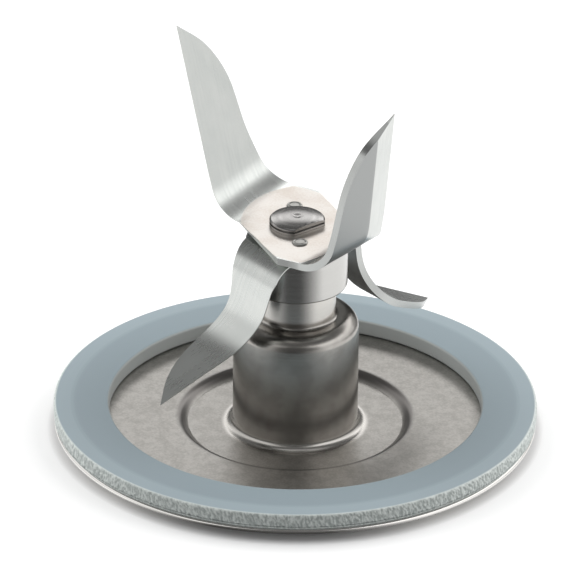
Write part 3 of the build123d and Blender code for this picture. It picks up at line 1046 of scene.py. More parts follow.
@dataclass(frozen=True)
class HeadedShaft(Piece):
    """The shaft with its formed head, which is flat on one side."""

    shank_radius: float = 4.0
    bottom: float = 6.4
    seat: float = BLADE_TOP
    flat_heading: float = -20.0
    head_radius: float = 5.7
    foot: float = 0.55
    groove: float = 0.4
    groove_depth: float = 0.6
    rim: float = 0.25
    chamfer: float = 0.25
    crown: float = 0.5
    head_flat: float = 4.1
    dimple_radius: float = 0.8
    dimple_depth: float = 0.25
    dome_steps: int = 10
    segments: int = 192

    def mesh(self) -> bmesh.types.BMesh:
        """Spin the shaft, then press the flat into its head.

        Returns:
            The mesh, in millimetres.
        """
        groove_top = self.seat + self.foot + self.groove
        rim_top = groove_top + self.rim + self.chamfer
        apex = rim_top + self.crown
        run = self.head_radius - self.chamfer - self.dimple_radius
        dome_radius = (run * run + self.crown * self.crown) / (2 * self.crown)
        dome = []
        for i in range(self.dome_steps + 1):
            x = run * i / self.dome_steps
            dome.append((self.dimple_radius + x, apex - dome_radius + math.sqrt(dome_radius**2 - x * x)))
        section = [
            (0.0, apex - self.dimple_depth),
            *dome,
            (self.head_radius, groove_top + self.rim),
            (self.head_radius, groove_top),
            (self.head_radius - self.groove_depth, groove_top),
            (self.head_radius - self.groove_depth, self.seat + self.foot),
            (self.head_radius, self.seat + self.foot),
            (self.head_radius, self.seat),
            (self.shank_radius, self.seat),
            (self.shank_radius, self.bottom),
            (0.0, self.bottom),
        ]
        built = spin_profile([Vector(p) for p in section], self.segments)
        heading = math.radians(self.flat_heading)
        out = Vector((math.cos(heading), math.sin(heading), 0))
        groove_radius = self.head_radius - self.groove_depth
        for vertex in built.verts:
            limit = self.head_flat if vertex.co.z > self.seat - NEAR else self.head_radius
            in_groove = self.seat + NEAR < vertex.co.z < groove_top + NEAR
            if in_groove and vertex.co.xy.length < groove_radius + NEAR:
                limit -= self.groove_depth
            beyond = vertex.co.dot(out) - limit
            if beyond > 0:
                vertex.co -= out * beyond
        return built


@dataclass(frozen=True)
class RivetPair(Piece):
    """Two upset rivets that lock the blades to the collar."""

    radius: float = 1.65
    proud: float = 0.3
    crown_radius: float = 0.25
    ring_radius: float = 1.12
    ring_width: float = 0.34
    ring_depth: float = 0.16
    ring_edge: float = 0.05
    neck: float = 0.12
    neck_height: float = 0.06
    sunk: float = 1.0
    pitch: float = 16.8
    heading: float = -54.5
    seat: float = BLADE_TOP
    segments: int = 48

    def mesh(self) -> bmesh.types.BMesh:
        """Spin one rivet at the origin, with its punch's ring, drawn in where it meets the blade.

        Returns:
            The mesh, in millimetres.
        """
        half = self.ring_width / 2
        crown = rounded_line(
            [
                (0.0, self.proud),
                (self.ring_radius - half, self.proud),
                (self.ring_radius, self.proud - self.ring_depth),
                (self.ring_radius + half, self.proud),
                (self.radius, self.proud),
                (self.radius, self.neck_height),
            ],
            [self.ring_edge, self.ring_edge, self.ring_edge, self.crown_radius],
            step=15.0,
        )
        foot = [Vector((self.radius - self.neck, 0.0)), Vector((self.radius - self.neck, -self.sunk))]
        return spin_profile(crown + foot + [Vector((0.0, -self.sunk))], self.segments)

    def dress(self, obj: bpy.types.Object) -> None:
        """Set the rivet at both places with a node group, then keep the mesh.

        Args:
            obj: The single rivet.
        """
        heading = math.radians(self.heading)
        half = Vector((math.cos(heading), math.sin(heading), 0)) * self.pitch / 2
        settings = {"Start": (-half + Vector((0, 0, self.seat))) * MM, "Step": half * 2 * MM}
        self.apply_group(obj, self.pair_group(), settings)

    def pair_group(self) -> bpy.types.NodeTree:
        """Make the node group that repeats a rivet along a line.

        Returns:
            The node group, with its places as named inputs.
        """
        tree = new_group("rivet_pair", {"Start": "Vector", "Step": "Vector"})
        given = add_node(tree, "NodeGroupInput").outputs
        places = {"Count": 2, "Start Location": given["Start"], "Offset": given["Step"]}
        line = add_node(tree, "GeometryNodeMeshLine", places).outputs[0]
        copies = {"Points": line, "Instance": given["Geometry"]}
        rivets = add_node(tree, "GeometryNodeInstanceOnPoints", copies).outputs[0]
        real = add_node(tree, "GeometryNodeRealizeInstances", {"Geometry": rivets}).outputs[0]
        covered = add_node(tree, "GeometryNodeSetMaterial", {"Geometry": real, "Material": given["Material"]})
        add_node(tree, "NodeGroupOutput", {"Geometry": covered.outputs[0]})
        return tree


@dataclass(frozen=True)
class Station:
    """One line across a blade, from its leading to its trailing edge on the upper face."""

    lead: Vector
    trail: Vector
    normal: Vector
    along: float
    left: float


@dataclass(frozen=True)
class BentBlade(Piece):
    """A blade of bent sheet: two arms and a flat centre, as one strip from tip to tip."""

    sheet: float = BLADE_SHEET
    land: float = 0.2
    bevel: float = UPPER_BEVEL
    level: float = BLADE_TOP
    headings: Point = (0.0, 180.0)
    bend_start: float = 10.6
    side_share: float = 0.6
    bevel_limits: Point = (0.04, 0.96)
    centre_rows: tuple[float, ...] = (0.25, 0.5, 0.75)
    columns: int = 10

    def arm(self, index: int) -> list[Station]:
        """Lay out an arm that points along +X.

        Args:
            index: Which arm, 0 or 1.

        Returns:
            Its stations, from the bend line to the tip.
        """
        raise NotImplementedError

    def centre_sides(self, roots: Sequence[Station]) -> tuple[list[Vector], list[Vector]]:
        """Return the outlines of the centre from the first arm's root to the second's.

        Args:
            roots: The two arms' first stations, already turned to their headings.

        Returns:
            The side that starts at the first arm's leading edge, and the other side.
        """
        return [roots[0].lead, roots[1].trail], [roots[0].trail, roots[1].lead]

    def turned_arm(self, index: int) -> list[Station]:
        """Turn an arm to its heading.

        Args:
            index: Which arm, 0 or 1.

        Returns:
            Its stations, from the bend line to the tip.
        """
        spin = Matrix.Rotation(math.radians(self.headings[index]), 3, "Z")
        return [
            Station(spin @ s.lead, spin @ s.trail, spin @ s.normal, s.along, s.left) for s in self.arm(index)
        ]

    def shares(self, station: Station) -> list[float]:
        """Spread the columns over a station, close together on the ground bevel.

        Args:
            station: The line across the blade.

        Returns:
            Shares of its width, from the leading edge.
        """
        width = max(TINY, (station.lead - station.trail).length)
        ground = self.bevel * (self.sheet - station.left) / (self.sheet - self.land)
        least, most = self.bevel_limits
        edge = min(most, max(least, ground / width))
        return [0.0, edge / 2] + [edge + (1 - edge) * i / self.columns for i in range(self.columns + 1)]

    def thickness(self, station: Station, share: float) -> float:
        """Return how much sheet the grind leaves at a share of a station's width."""
        distance = share * (station.lead - station.trail).length
        return min(self.sheet, station.left + (self.sheet - self.land) * distance / self.bevel)

    def run_out(self, roots: Sequence[Station], middle: Station, t: float, share: float) -> float:
        """Return how much sheet is left in the centre, where the grind of each arm runs out along a side.

        Args:
            roots: The two arms' first stations.
            middle: The line across the centre.
            t: Its share of the way from the first arm to the second.
            share: The place on that line, from the first arm's leading side.

        Returns:
            The thickness there.
        """
        width = (middle.lead - middle.trail).length
        slope = (self.sheet - self.land) / self.bevel
        near = roots[0].left + (self.sheet - roots[0].left) * min(1.0, 2 * t) + slope * share * width
        far = roots[1].left + (self.sheet - roots[1].left) * min(1.0, 2 - 2 * t) + slope * (1 - share) * width
        return min(self.sheet, near, far)

    def mesh(self) -> bmesh.types.BMesh:
        """Build the strip row by row, close its sides and lay its map along the arms.

        Returns:
            The mesh, in millimetres.
        """
        arms = [self.turned_arm(0), self.turned_arm(1)]
        rows: list[list[Column]] = []
        for station in reversed(arms[0]):
            shares = self.shares(station)
            thick = [self.thickness(station, s) for s in shares]
            rows.append([self.column(station, s, -station.along, h) for s, h in zip(shares, thick)])
        roots = [arms[0][0], arms[1][0]]
        first = self.shares(roots[0])
        last = [1 - s for s in reversed(self.shares(roots[1]))]
        side_a, side_b = self.centre_sides(roots)
        corners = {i / (len(side_a) - 1) for i in range(1, len(side_a) - 1)}
        for t in sorted(corners.union(self.centre_rows)):
            a = self.along_side(side_a, t)
            b = self.along_side(side_b, t)
            middle = Station(a, b, Vector((0, 0, 1)), (2 * t - 1) * self.bend_start, self.sheet)
            shares = [f + (e - f) * t for f, e in zip(first, last)]
            thick = [self.run_out(roots, middle, t, s) for s in shares]
            rows.append([self.column(middle, s, middle.along, h) for s, h in zip(shares, thick)])
        for station in arms[1]:
            shares = self.shares(station)
            thick = [self.thickness(station, s) for s in shares]
            line = [self.column(station, s, station.along, h) for s, h in zip(shares, thick)]
            rows.append(line[::-1])
        return self.strip(rows)

    def along_side(self, side: Sequence[Vector], t: float) -> Vector:
        """Find a point on an outline of the centre.

        Args:
            side: The outline's corners.
            t: A share of the way along it, with equal shares between corners.

        Returns:
            The point.
        """
        step = t * (len(side) - 1)
        i = min(int(step), len(side) - 2)
        return side[i].lerp(side[i + 1], step - i)

    def column(self, station: Station, share: float, along: float, thick: float) -> Column:
        """Find both faces of the sheet at one place.

        Args:
            station: The line across the blade.
            share: The place on that line, from its leading edge.
            along: The line's place along the arms on the map.
            thick: How much sheet is left there.

        Returns:
            The upper point, the under point and the place on the map.
        """
        upper = station.lead.lerp(station.trail, share)
        under = upper - station.normal * thick
        return upper, under, (along, share * (station.lead - station.trail).length)

    def strip(self, rows: Sequence[Sequence[Column]]) -> bmesh.types.BMesh:
        """Join rows of points into a closed sheet.

        Args:
            rows: For each line across, its upper points, under points and map places.

        Returns:
            The closed mesh, with a map in metres along and across the arms, below zero on the under face
            and far below it on the sheared sides.
        """
        built = bmesh.new()
        layer = built.loops.layers.uv.new("along_arm")
        upper = [[built.verts.new(u) for u, _, _ in row] for row in rows]
        under = [[built.verts.new(d) for _, d, _ in row] for row in rows]
        place = {}
        for row, tops, bottoms in zip(rows, upper, under):
            for (_, _, (along, across)), top, bottom in zip(row, tops, bottoms):
                place[top] = (along, across)
                place[bottom] = (along, -across - self.sheet)
        last_row = len(rows) - 1
        last_column = len(rows[0]) - 1
        quads = []
        sides = []
        for i in range(last_row):
            for j in range(last_column):
                quads.append((upper[i][j], upper[i + 1][j], upper[i + 1][j + 1], upper[i][j + 1]))
                quads.append((under[i][j], under[i][j + 1], under[i + 1][j + 1], under[i + 1][j]))
            for j in (0, last_column):
                sides.append((upper[i][j], under[i][j], under[i + 1][j], upper[i + 1][j]))
        for i in (0, last_row):
            for j in range(last_column):
                quads.append((upper[i][j], upper[i][j + 1], under[i][j + 1], under[i][j]))
        for quad in quads + sides:
            for loop in built.faces.new(quad).loops:
                loop[layer].uv = Vector(place[loop.vert]) * MM
        built.faces.ensure_lookup_table()
        for face in built.faces[len(quads) :]:
            lead, under_lead = face.verts[0].co, face.verts[1].co
            if (lead - under_lead).length > self.sheet * self.side_share:
                for loop in face.loops:
                    loop[layer].uv.y = -EDGE_MARK * MM
        return built


@dataclass(frozen=True)
class UpperBlade(BentBlade):
    """The blade whose arms are bent up, each with an angle and outline of its own, ground on the outer face."""

    bends: Point = (62.9, 73.0)
    bend_radius: float = 8.6
    reaches: Point = (38.2, 37.0)
    lead_roots: Point = (5.5, 5.9)
    lead_knees: tuple[Point, Point] = ((8.2, 2.75), (8.2, 3.8))
    tip_trails: Point = (6.2, 4.4)
    bellies: tuple[Point, Point] = ((24.0, 15.2), (24.0, 15.4))
    shoulders: tuple[Point, Point] = ((31.5, 12.5), (31.2, 13.0))
    waists: tuple[Point, Point] = ((11.5, 14.2), (9.0, 14.2))
    trail_roots: Point = (15.4, 13.8)
    corners: tuple[Point, Point] = ((4.4, 15.4), (6.4, 14.7))
    ground_bends: tuple[bool, bool] = (True, False)
    bend_rows: int = 16
    arm_rows: int = 30
    tip_crowding: float = 1.4

    def arm(self, index: int) -> list[Station]:
        """Lay out an arm that points along +X.

        Args:
            index: Which arm, 0 or 1.

        Returns:
            Its stations, from the bend line to the tip.
        """
        bend = math.radians(self.bends[index])
        run = self.bend_radius * math.tan(bend / 2)
        root = -run * math.cos(bend)
        reach = self.reaches[index]
        tip = (reach, -self.tip_trails[index])
        lead = [Vector((root, self.lead_roots[index])), Vector(self.lead_knees[index]), Vector(tip)]
        shoulder, belly, waist = self.shoulders[index], self.bellies[index], self.waists[index]
        trail = smooth_curve(
            [
                tip,
                (shoulder[0], -shoulder[1]),
                (belly[0], -belly[1]),
                (waist[0], -waist[1]),
                (root, -self.trail_roots[index]),
            ]
        )
        stations = []
        for i in range(self.bend_rows + 1):
            angle = bend * i / self.bend_rows
            rest = bend - angle
            u = run - self.bend_radius * math.sin(rest)
            x = self.bend_start + self.bend_radius * math.sin(angle)
            z = self.level + self.bend_radius * (1 - math.cos(angle))
            normal = Vector((-math.sin(angle), 0, math.cos(angle)))
            along = self.bend_start + self.bend_radius * angle
            lift = 0.0 if self.ground_bends[index] else self.bend_radius * (1 - math.cos(rest))
            slant = max(MITRE_COSINE, math.cos(rest)) if lift else 1.0
            left = min(self.sheet, (self.land + lift) / slant)
            stations.append(self.station(x, z, u, lead, trail, normal, along, left))
        slope = Vector((math.cos(bend), 0, math.sin(bend)))
        normal = Vector((-math.sin(bend), 0, math.cos(bend)))
        start = stations[-1].lead
        for i in range(1, self.arm_rows + 1):
            share = 1 - (1 - i / self.arm_rows) ** self.tip_crowding
            u = run + (reach - run) * share
            x = start.x + slope.x * (u - run)
            z = start.z + slope.z * (u - run)
            along = self.bend_start + self.bend_radius * bend + u - run
            stations.append(self.station(x, z, u, lead, trail, normal, along, self.land))
        return stations

    def station(
        self,
        x: float,
        z: float,
        u: float,
        lead: Sequence[Vector],
        trail: Sequence[Vector],
        normal: Vector,
        along: float,
        left: float,
    ) -> Station:
        """Cut a line across the sheet to the arm's two edges.

        Args:
            x: Its reach from the axis.
            z: Its height.
            u: Its place along the arm, as the edges' lines count it.
            lead: The leading edge's line.
            trail: The trailing edge's line.
            normal: The upper face's normal.
            along: Its place along the arms on the map.
            left: How much sheet the grind leaves at the leading edge.

        Returns:
            The station.
        """
        lead_y = height_at(lead, u)
        trail_y = min(lead_y, height_at(trail, u))
        return Station(Vector((x, lead_y, z)), Vector((x, trail_y, z)), normal, along, left)

    def centre_sides(self, roots: Sequence[Station]) -> tuple[list[Vector], list[Vector]]:
        """Clip the centre with one corner on each side.

        Args:
            roots: The two arms' first stations, already turned to their headings.

        Returns:
            The side that starts at the first arm's leading edge, and the other side.
        """
        corners = []
        for heading, (out, across) in zip(self.headings, self.corners):
            spin = Matrix.Rotation(math.radians(heading), 3, "Z")
            corners.append(spin @ Vector((out, -across, self.level)))
        side_a = [roots[0].lead, corners[1], roots[1].trail]
        side_b = [roots[0].trail, corners[0], roots[1].lead]
        return side_a, side_b


@dataclass(frozen=True)
class LowerBlade(BentBlade):
    """The blade whose arms drop over the collar and flare out to a point, ground on the underside."""

    bend_radius: float = 6.2
    drop_angle: float = 87.5
    drop: float = 4.2
    flare_radius: float = 12.8
    flare_angle: float = 25.5
    flare: float = 15.3
    lean: float = 45.0
    lead_root: float = 11.2
    lead_knee: Point = (13.3, 11.1)
    lead_mid: Point = (28.7, 4.8)
    tip_lead: float = 1.0
    trail_root: float = 5.4
    trail_waist: Point = (15.5, 1.9)
    trail_belly: Point = (30.5, 5.9)
    trail_end: Point = (39.0, 4.0)
    rows: tuple[int, int, int, int] = (14, 6, 22, 22)

    def arm(self, index: int) -> list[Station]:
        """Lay out an arm that points along +X.

        Args:
            index: Which arm, 0 or 1; not used.

        Returns:
            Its stations, from the bend line to the tip.
        """
        line = self.side_line()
        lean = math.radians(self.lean)
        reach = self.across(line[-1][0], lean)
        root = self.across(line[0][0], lean)
        lead = [Vector((root, self.lead_root))]
        lead += smooth_curve([self.lead_knee, self.lead_mid, (reach, self.tip_lead)])
        trail = smooth_curve(
            [
                (reach, self.tip_lead),
                (self.trail_end[0], -self.trail_end[1]),
                (self.trail_belly[0], -self.trail_belly[1]),
                (self.trail_waist[0], -self.trail_waist[1]),
                (root - 2 * self.sheet, -self.trail_root),
            ]
        )
        stations = []
        along = self.bend_start
        before = line[0][0]
        for spot, angle in line:
            along += (spot - before).length
            before = spot
            q = self.across(spot, lean)
            lead_y = height_at(lead, q)
            trail_y = min(lead_y, height_at(trail, q))
            normal = Vector((math.sin(angle), 0, math.cos(angle)))
            ground = min(1.0, (q - root) / self.sheet)
            left = self.sheet + (self.land - self.sheet) * ground
            ends = [Vector((spot.x, y, spot.y)) for y in (lead_y, trail_y)]
            stations.append(Station(ends[0], ends[1], normal, along, left))
        return stations

    def across(self, spot: Vector, lean: float) -> float:
        """Return how far a point of the side line lies along the leaning trim plane."""
        return spot.x * math.cos(lean) + (self.level - spot.y) * math.sin(lean)

    def side_line(self) -> list[tuple[Vector, float]]:
        """Return the upper face's line in the side view, each point with its slope below level.

        Returns:
            Points of outward reach and height, with the slope in radians.
        """
        drop = math.radians(self.drop_angle)
        flare = math.radians(self.flare_angle)
        spot = Vector((self.bend_start, self.level))
        line = [(spot.copy(), 0.0)]
        spans = [
            (self.bend_radius * drop, drop),
            (self.drop, 0.0),
            (self.flare_radius * (drop - flare), flare - drop),
            (self.flare, 0.0),
        ]
        slope = 0.0
        for (length, turn), steps in zip(spans, self.rows):
            for _ in range(steps):
                middle = slope + turn / steps / 2
                chord = length / steps
                if turn:
                    chord = 2 * length / abs(turn) * math.sin(abs(turn) / steps / 2)
                spot = spot + Vector((math.cos(middle), -math.sin(middle))) * chord
                slope += turn / steps
                line.append((spot.copy(), slope))
        return line


@dataclass(frozen=True)
class SmoothedCopy(Piece):
    """A small turned piece seen from below: the CAD shape with its triangles joined and shaded round."""

    def mesh(self) -> bmesh.types.BMesh:
        """Copy the CAD node's mesh.

        Returns:
            The mesh, in millimetres.
        """
        built = bmesh.new()
        built.from_mesh(bpy.data.objects[self.nodes[0]].data)
        built.transform(Matrix.Scale(1 / MM, 4))
        return built


@dataclass(frozen=True)
class InnerWorks:
    """The bearings, spacers and seal inside the tower, which keep their CAD shapes."""

    ground_nodes: tuple[str, ...] = (
        "outer_spacer",
        "inner_spacer",
        "upper_outer_ring",
        "upper_inner_ring",
        "upper_balls",
        "upper_shields",
        "lower_outer_ring",
        "lower_inner_ring",
        "lower_balls",
        "lower_shields",
    )
    cage_nodes: tuple[str, ...] = ("upper_ball_cage", "lower_ball_cage")
    seal_nodes: tuple[str, ...] = ("lip_seal",)

    def place(self) -> None:
        """Give every inner node its material."""
        groups = (
            (self.ground_nodes, BEARING_STEEL, Slot.BEARING),
            (self.cage_nodes, SPRING_STEEL, Slot.SPRING),
            (self.seal_nodes, NITRILE, Slot.SEAL),
        )
        for nodes, finish, slot in groups:
            for node in nodes:
                obj = bpy.data.objects[node]
                obj.data.materials.clear()
                obj.data.materials.append(finish.build())
            LOG.info("%d inner nodes in %s", len(nodes), finish.name)


@dataclass(frozen=True)
class Studio:
    """A white sweep that glows at the back and sides, dim overhead and towards the camera, as in the photo.

    Levels are brightnesses. Starts, ends and ranges are heights or shares of a direction in the surroundings,
    and metres on the table.
    """

    camera_azimuth: float = CAMERA_AZIMUTH
    floor_size: float = 6.0
    side_horizon_level: float = 1.15
    back_horizon_level: float = 0.2
    side_band_level: float = 2.0
    back_band_level: float = 3.1
    left_share: float = 0.65
    roof_level: float = 0.2
    zenith_level: float = 0.9
    front_level: float = 0.13
    side_start: float = 0.1
    back_start: float = 0.33
    band_full: float = 0.41
    roof_range: Point = (0.52, 0.62)
    backdrop_level: float = 1.0
    table_level: float = 1.25
    table_front_level: float = 0.1
    table_back_level: float = 0.15
    table_glow: float = 0.06
    table_white: float = 1.0
    table_bounce: float = 0.5
    # Painted shadow: how dark the paper is drawn under the rim.
    painted_contact_shadow: float = 0.65
    viewer_shift: float = 0.1
    corner_way: Point = (0.8, 0.6)
    corner_range: Point = (0.75, 0.9)
    end_range: Point = (-0.09, -0.12)
    dark_range: Point = (0.058, 0.07)
    dark_starts: Point = (0.75, 0.45)
    dark_full: float = 0.97
    contact_range: Point = (0.0495, 0.052)
    side_range: Point = (0.5, 0.8)
    left_range: Point = (-0.6, 0.3)
    front_range: Point = (0.6, 0.9)
    front_reach: float = 0.2
    zenith_range: Point = (0.88, 0.95)
    lamp_power: float = 4.5
    lamp_size: float = 0.8
    lamp_place: tuple[float, float, float] = (0.58, 0.2, 0.4)

    def towards_camera(self) -> Vector:
        """Return the level direction from the unit to the camera."""
        turn = math.radians(self.camera_azimuth)
        return Vector((math.sin(turn), -math.cos(turn), 0.0))

    def to_the_right(self) -> Vector:
        """Return the level direction that the camera sees as right."""
        turn = math.radians(self.camera_azimuth)
        return Vector((math.cos(turn), math.sin(turn), 0.0))

    def build_floor(self) -> None:
        """Lay the floor, white to the camera and in reflections, with the object's shadow kept and a shadow
        painted under the rim.
        """
        data = bpy.data.meshes.new("floor")
        half = self.floor_size / 2
        corners = [(-half, -half, 0), (half, -half, 0), (half, half, 0), (-half, half, 0)]
        data.from_pydata(corners, [], [(0, 1, 2, 3)])
        floor = bpy.data.objects.new("floor", data)
        bpy.context.scene.collection.objects.link(floor)
        paint = bpy.data.materials.new("white_sweep_paper")
        paint.use_nodes = True
        # The glow is found by rays alone, so that it can differ between the camera and reflections.
        paint.cycles.emission_sampling = "NONE"
        tree = paint.node_tree
        tree.nodes.clear()
        place = add_node(tree, "ShaderNodeTexCoord").outputs["Object"]
        viewer = (self.towards_camera() - self.to_the_right() * self.viewer_shift).normalized()
        away, left = self.corner_way
        corner = -(self.towards_camera() * away + self.to_the_right() * left)
        ahead = add_node(
            tree, "ShaderNodeVectorMath", {0: place, 1: viewer}, operation="DOT_PRODUCT"
        ).outputs["Value"]
        aback = add_node(
            tree, "ShaderNodeVectorMath", {0: place, 1: corner}, operation="DOT_PRODUCT"
        ).outputs["Value"]
        distance = add_node(tree, "ShaderNodeVectorMath", {0: place}, operation="LENGTH").outputs["Value"]
        # The paper ends a hand's width behind, sooner on the left, and is dark where the viewer stands.
        end = add_node(
            tree,
            "ShaderNodeMapRange",
            {
                "Value": ahead,
                "From Min": self.end_range[0],
                "From Max": self.end_range[1],
                "To Min": self.table_level,
                "To Max": self.table_back_level,
            },
        ).outputs[0]
        cornered = add_node(tree, "ShaderNodeMath", {0: aback, 1: distance}, operation="DIVIDE").outputs[0]
        back = add_node(
            tree,
            "ShaderNodeMapRange",
            {
                "Value": cornered,
                "From Min": self.corner_range[0],
                "From Max": self.corner_range[1],
                "To Min": end,
                "To Max": self.table_back_level,
            },
        ).outputs[0]
        facing = add_node(tree, "ShaderNodeMath", {0: ahead, 1: distance}, operation="DIVIDE").outputs[0]
        dark_start = add_node(
            tree,
            "ShaderNodeMapRange",
            {
                "Value": distance,
                "From Min": self.dark_range[0],
                "From Max": self.dark_range[1],
                "To Min": self.dark_starts[0],
                "To Max": self.dark_starts[1],
            },
        ).outputs[0]
        front = add_node(
            tree,
            "ShaderNodeMapRange",
            {
                "Value": facing,
                "From Min": dark_start,
                "From Max": self.dark_full,
                "To Min": back,
                "To Max": self.table_front_level,
            },
        ).outputs[0]
        # Little of the sweep's light gets in under the rim, so a shadow is painted onto the paper there,
        # dimming both its glow and its colour.
        painted_shadow_share = add_node(
            tree,
            "ShaderNodeMapRange",
            {
                "Value": distance,
                "From Min": self.contact_range[0],
                "From Max": self.contact_range[1],
                "To Min": self.painted_contact_shadow,
            },
            interpolation_type="SMOOTHSTEP",
        ).outputs[0]
        path = add_node(tree, "ShaderNodeLightPath").outputs
        direct, mirrored = path["Is Camera Ray"], path["Is Glossy Ray"]
        level = add_node(
            tree, "ShaderNodeMix", {"Factor": direct, "A": front, "B": self.table_glow}
        ).outputs[0]
        seen = add_node(tree, "ShaderNodeMath", {0: direct, 1: mirrored}, operation="MAXIMUM").outputs[0]
        shone = add_node(tree, "ShaderNodeMath", {0: level, 1: seen}, operation="MULTIPLY").outputs[0]
        strength = add_node(
            tree, "ShaderNodeMath", {0: shone, 1: painted_shadow_share}, operation="MULTIPLY"
        ).outputs[0]
        glow = add_node(tree, "ShaderNodeEmission", {"Strength": strength})
        # Reflections take the glow alone, so that the darker front isn't filled by the paper's own white.
        paper = add_node(
            tree, "ShaderNodeMix", {"Factor": direct, "A": self.table_bounce, "B": self.table_white}
        ).outputs[0]
        lit = add_node(tree, "ShaderNodeMix", {"Factor": mirrored, "A": paper, "B": 0.0}).outputs[0]
        white = add_node(tree, "ShaderNodeMath", {0: lit, 1: painted_shadow_share}, operation="MULTIPLY").outputs[0]
        matt = add_node(tree, "ShaderNodeBsdfDiffuse", {"Color": white})
        both = add_node(tree, "ShaderNodeAddShader", {0: glow.outputs[0], 1: matt.outputs[0]})
        add_node(tree, "ShaderNodeOutputMaterial", {"Surface": both.outputs[0]})
        data.materials.append(paint)

    def build_world(self) -> None:
        """Surround the unit with a bright band to the back and sides, under a dim roof."""
        world = bpy.data.worlds.new("studio")
        bpy.context.scene.world = world
        world.use_nodes = True
        tree = world.node_tree
        tree.nodes.clear()
        way = add_node(tree, "ShaderNodeNewGeometry").outputs["Position"]
        height = add_node(tree, "ShaderNodeSeparateXYZ", {0: way}).outputs["Z"]
        right = add_node(
            tree, "ShaderNodeVectorMath", {0: way, 1: self.to_the_right()}, operation="DOT_PRODUCT"
        ).outputs["Value"]
        ahead = add_node(
            tree, "ShaderNodeVectorMath", {0: way, 1: self.towards_camera()}, operation="DOT_PRODUCT"
        ).outputs["Value"]
        sideways = add_node(tree, "ShaderNodeMath", {0: right}, operation="ABSOLUTE").outputs[0]
        # The sides reach farther round in front than behind.
        in_front = add_node(
            tree, "ShaderNodeMapRange", {"Value": ahead, "To Max": self.front_reach}
        ).outputs[0]
        aside = add_node(tree, "ShaderNodeMath", {0: sideways, 1: in_front}, operation="ADD").outputs[0]
        sides = []
        for behind, beside in (
            (self.back_start, self.side_start),
            (self.back_horizon_level, self.side_horizon_level),
            (self.back_band_level, self.side_band_level),
        ):
            ends = {"Value": aside, "From Min": self.side_range[0], "From Max": self.side_range[1]}
            levels = {"To Min": behind, "To Max": beside}
            sides.append(add_node(tree, "ShaderNodeMapRange", {**ends, **levels}).outputs[0])
        start, horizon, band = sides
        share = add_node(
            tree,
            "ShaderNodeMapRange",
            {
                "Value": right,
                "From Min": self.left_range[0],
                "From Max": self.left_range[1],
                "To Min": self.left_share,
            },
        ).outputs[0]
        peak = add_node(tree, "ShaderNodeMath", {0: band, 1: share}, operation="MULTIPLY").outputs[0]
        rising = add_node(
            tree,
            "ShaderNodeMapRange",
            {
                "Value": height,
                "From Min": start,
                "From Max": self.band_full,
                "To Min": horizon,
                "To Max": peak,
            },
        ).outputs[0]
        roof = add_node(
            tree,
            "ShaderNodeMapRange",
            {
                "Value": height,
                "From Min": self.roof_range[0],
                "From Max": self.roof_range[1],
                "To Min": rising,
                "To Max": self.roof_level,
            },
            interpolation_type="SMOOTHSTEP",
        ).outputs[0]
        around = add_node(
            tree,
            "ShaderNodeMapRange",
            {
                "Value": ahead,
                "From Min": self.front_range[0],
                "From Max": self.front_range[1],
                "To Min": roof,
                "To Max": self.front_level,
            },
            interpolation_type="SMOOTHSTEP",
        ).outputs[0]
        top = add_node(
            tree,
            "ShaderNodeMapRange",
            {
                "Value": height,
                "From Min": self.zenith_range[0],
                "From Max": self.zenith_range[1],
                "To Min": around,
                "To Max": self.zenith_level,
            },
        ).outputs[0]
        direct = add_node(tree, "ShaderNodeLightPath").outputs["Is Camera Ray"]
        level = add_node(
            tree, "ShaderNodeMix", {"Factor": direct, "A": top, "B": self.backdrop_level}
        ).outputs[0]
        glow = add_node(tree, "ShaderNodeBackground", {"Strength": level})
        add_node(tree, "ShaderNodeOutputWorld", {"Surface": glow.outputs[0]})

    def build_lamps(self) -> None:
        """Hang a soft lamp on each side, kept out of reflections, which show the sweep instead."""
        for side in (-1, 1):
            data = bpy.data.lights.new("side_lamp", "AREA")
            data.size = self.lamp_size
            data.energy = self.lamp_power
            lamp = bpy.data.objects.new("side_lamp", data)
            bpy.context.scene.collection.objects.link(lamp)
            across, away, up = self.lamp_place
            place = self.to_the_right() * side * across - self.towards_camera() * away + Vector((0, 0, up))
            lamp.location = place
            lamp.rotation_euler = place.to_track_quat("Z", "Y").to_euler()
            lamp.visible_glossy = False

    def build(self) -> None:
        """Build the floor and the light."""
        self.build_floor()
        self.build_world()
        self.build_lamps()
        LOG.info("studio: floor, surroundings and lamps built")


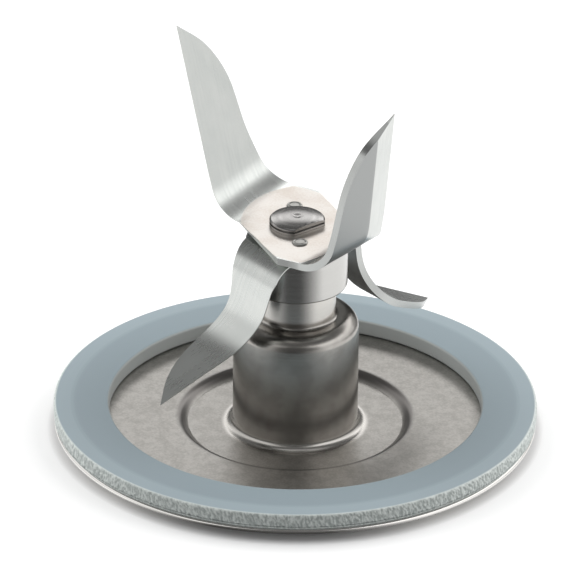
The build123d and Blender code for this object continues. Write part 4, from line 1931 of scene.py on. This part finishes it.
@dataclass(frozen=True)
class PhotoCamera:
    """The photo's camera, solved from the plate's circles: far away, with a long lens."""

    distance: float = 1800.0
    azimuth: float = CAMERA_AZIMUTH
    elevation: float = 27.97
    pan: float = 0.056
    tilt: float = 0.873
    roll: float = -0.6
    axis_height: float = 1.28
    lens: float = 542.9
    sensor: float = 36.0
    clip: Point = (0.1, 20.0)

    def build(self) -> None:
        """Place the camera: aim it at the axis, then turn it by pan, tilt and roll."""
        rise = math.radians(self.elevation)
        turn = math.radians(self.azimuth)
        back = Vector((math.sin(turn) * math.cos(rise), -math.cos(turn) * math.cos(rise), math.sin(rise)))
        right = Vector((math.cos(turn), math.sin(turn), 0))
        ahead = -back
        up = right.cross(ahead)
        pan = Matrix.Rotation(math.radians(self.pan), 3, up)
        ahead, right = pan @ ahead, pan @ right
        tilt = Matrix.Rotation(math.radians(self.tilt), 3, right)
        ahead, up = tilt @ ahead, tilt @ up
        roll = Matrix.Rotation(math.radians(self.roll), 3, ahead)
        right, up = roll @ right, roll @ up
        data = bpy.data.cameras.new("photo_camera")
        data.lens = self.lens
        data.sensor_width = self.sensor
        data.clip_start, data.clip_end = self.clip
        camera = bpy.data.objects.new("photo_camera", data)
        bpy.context.scene.collection.objects.link(camera)
        place = back * self.distance * MM + Vector((0, 0, self.axis_height * MM))
        turned = Matrix((right, up, -ahead)).transposed()
        camera.matrix_world = Matrix.Translation(place) @ turned.to_4x4()
        bpy.context.scene.camera = camera
        LOG.info("camera: %.0f mm lens at %.0f mm", self.lens, self.distance)


def unit_pieces() -> list[Piece]:
    """List the finished pieces of the unit.

    Returns:
        The pieces, outside first.
    """
    return [
        DrawnPlate("plate", ("base_plate",), Body.HOUSING, Slot.PLATE, PLATE_STEEL, edge=0.5),
        SealRing("seal_ring", ("gasket",), Body.HOUSING, Slot.GASKET, SILICONE, sharp_angle=60.0),
        BladeCollar("collar", ("blade_collar",), Body.ROTOR, Slot.TURNED, COLLAR_STEEL, edge=0.35),
        LowerBlade(
            "low_blade",
            ("lower_blade",),
            Body.ROTOR,
            Slot.BLADE,
            LOWER_BLADE_STEEL,
            edge=0.07,
            bevel=LOWER_BEVEL,
            level=45.3,
            headings=(251.7, 431.7),
            bend_start=9.45,
        ),
        UpperBlade(
            "high_blade",
            ("upper_blade",),
            Body.ROTOR,
            Slot.BLADE,
            UPPER_BLADE_STEEL,
            edge=0.07,
            headings=(180.0, -6.3),
        ),
        HeadedShaft("headed_shaft", ("shaft",), Body.ROTOR, Slot.TURNED, HEAD_STEEL, edge=0.06),
        RivetPair("rivets", ("blade_rivets",), Body.ROTOR, Slot.RIVET, RIVET_STEEL),
        SmoothedCopy("coupling", ("drive_coupling",), Body.ROTOR, Slot.TURNED, COLLAR_STEEL),
        SmoothedCopy("sleeve", ("bearing_sleeve",), Body.HOUSING, Slot.TURNED, COLLAR_STEEL),
        SmoothedCopy("retaining_ring", ("circlip",), Body.HOUSING, Slot.SPRING, SPRING_STEEL, edge=0.05),
    ]


def main() -> None:
    """Build the unit's looks round the frame."""
    logging.basicConfig(level=logging.INFO, format="%(name)s: %(message)s")
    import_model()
    bpy.context.scene.view_settings.view_transform = "Standard"
    for piece in unit_pieces():
        piece.place()
    InnerWorks().place()
    Studio().build()
    PhotoCamera().build()


if __name__ == "__main__":
    main()
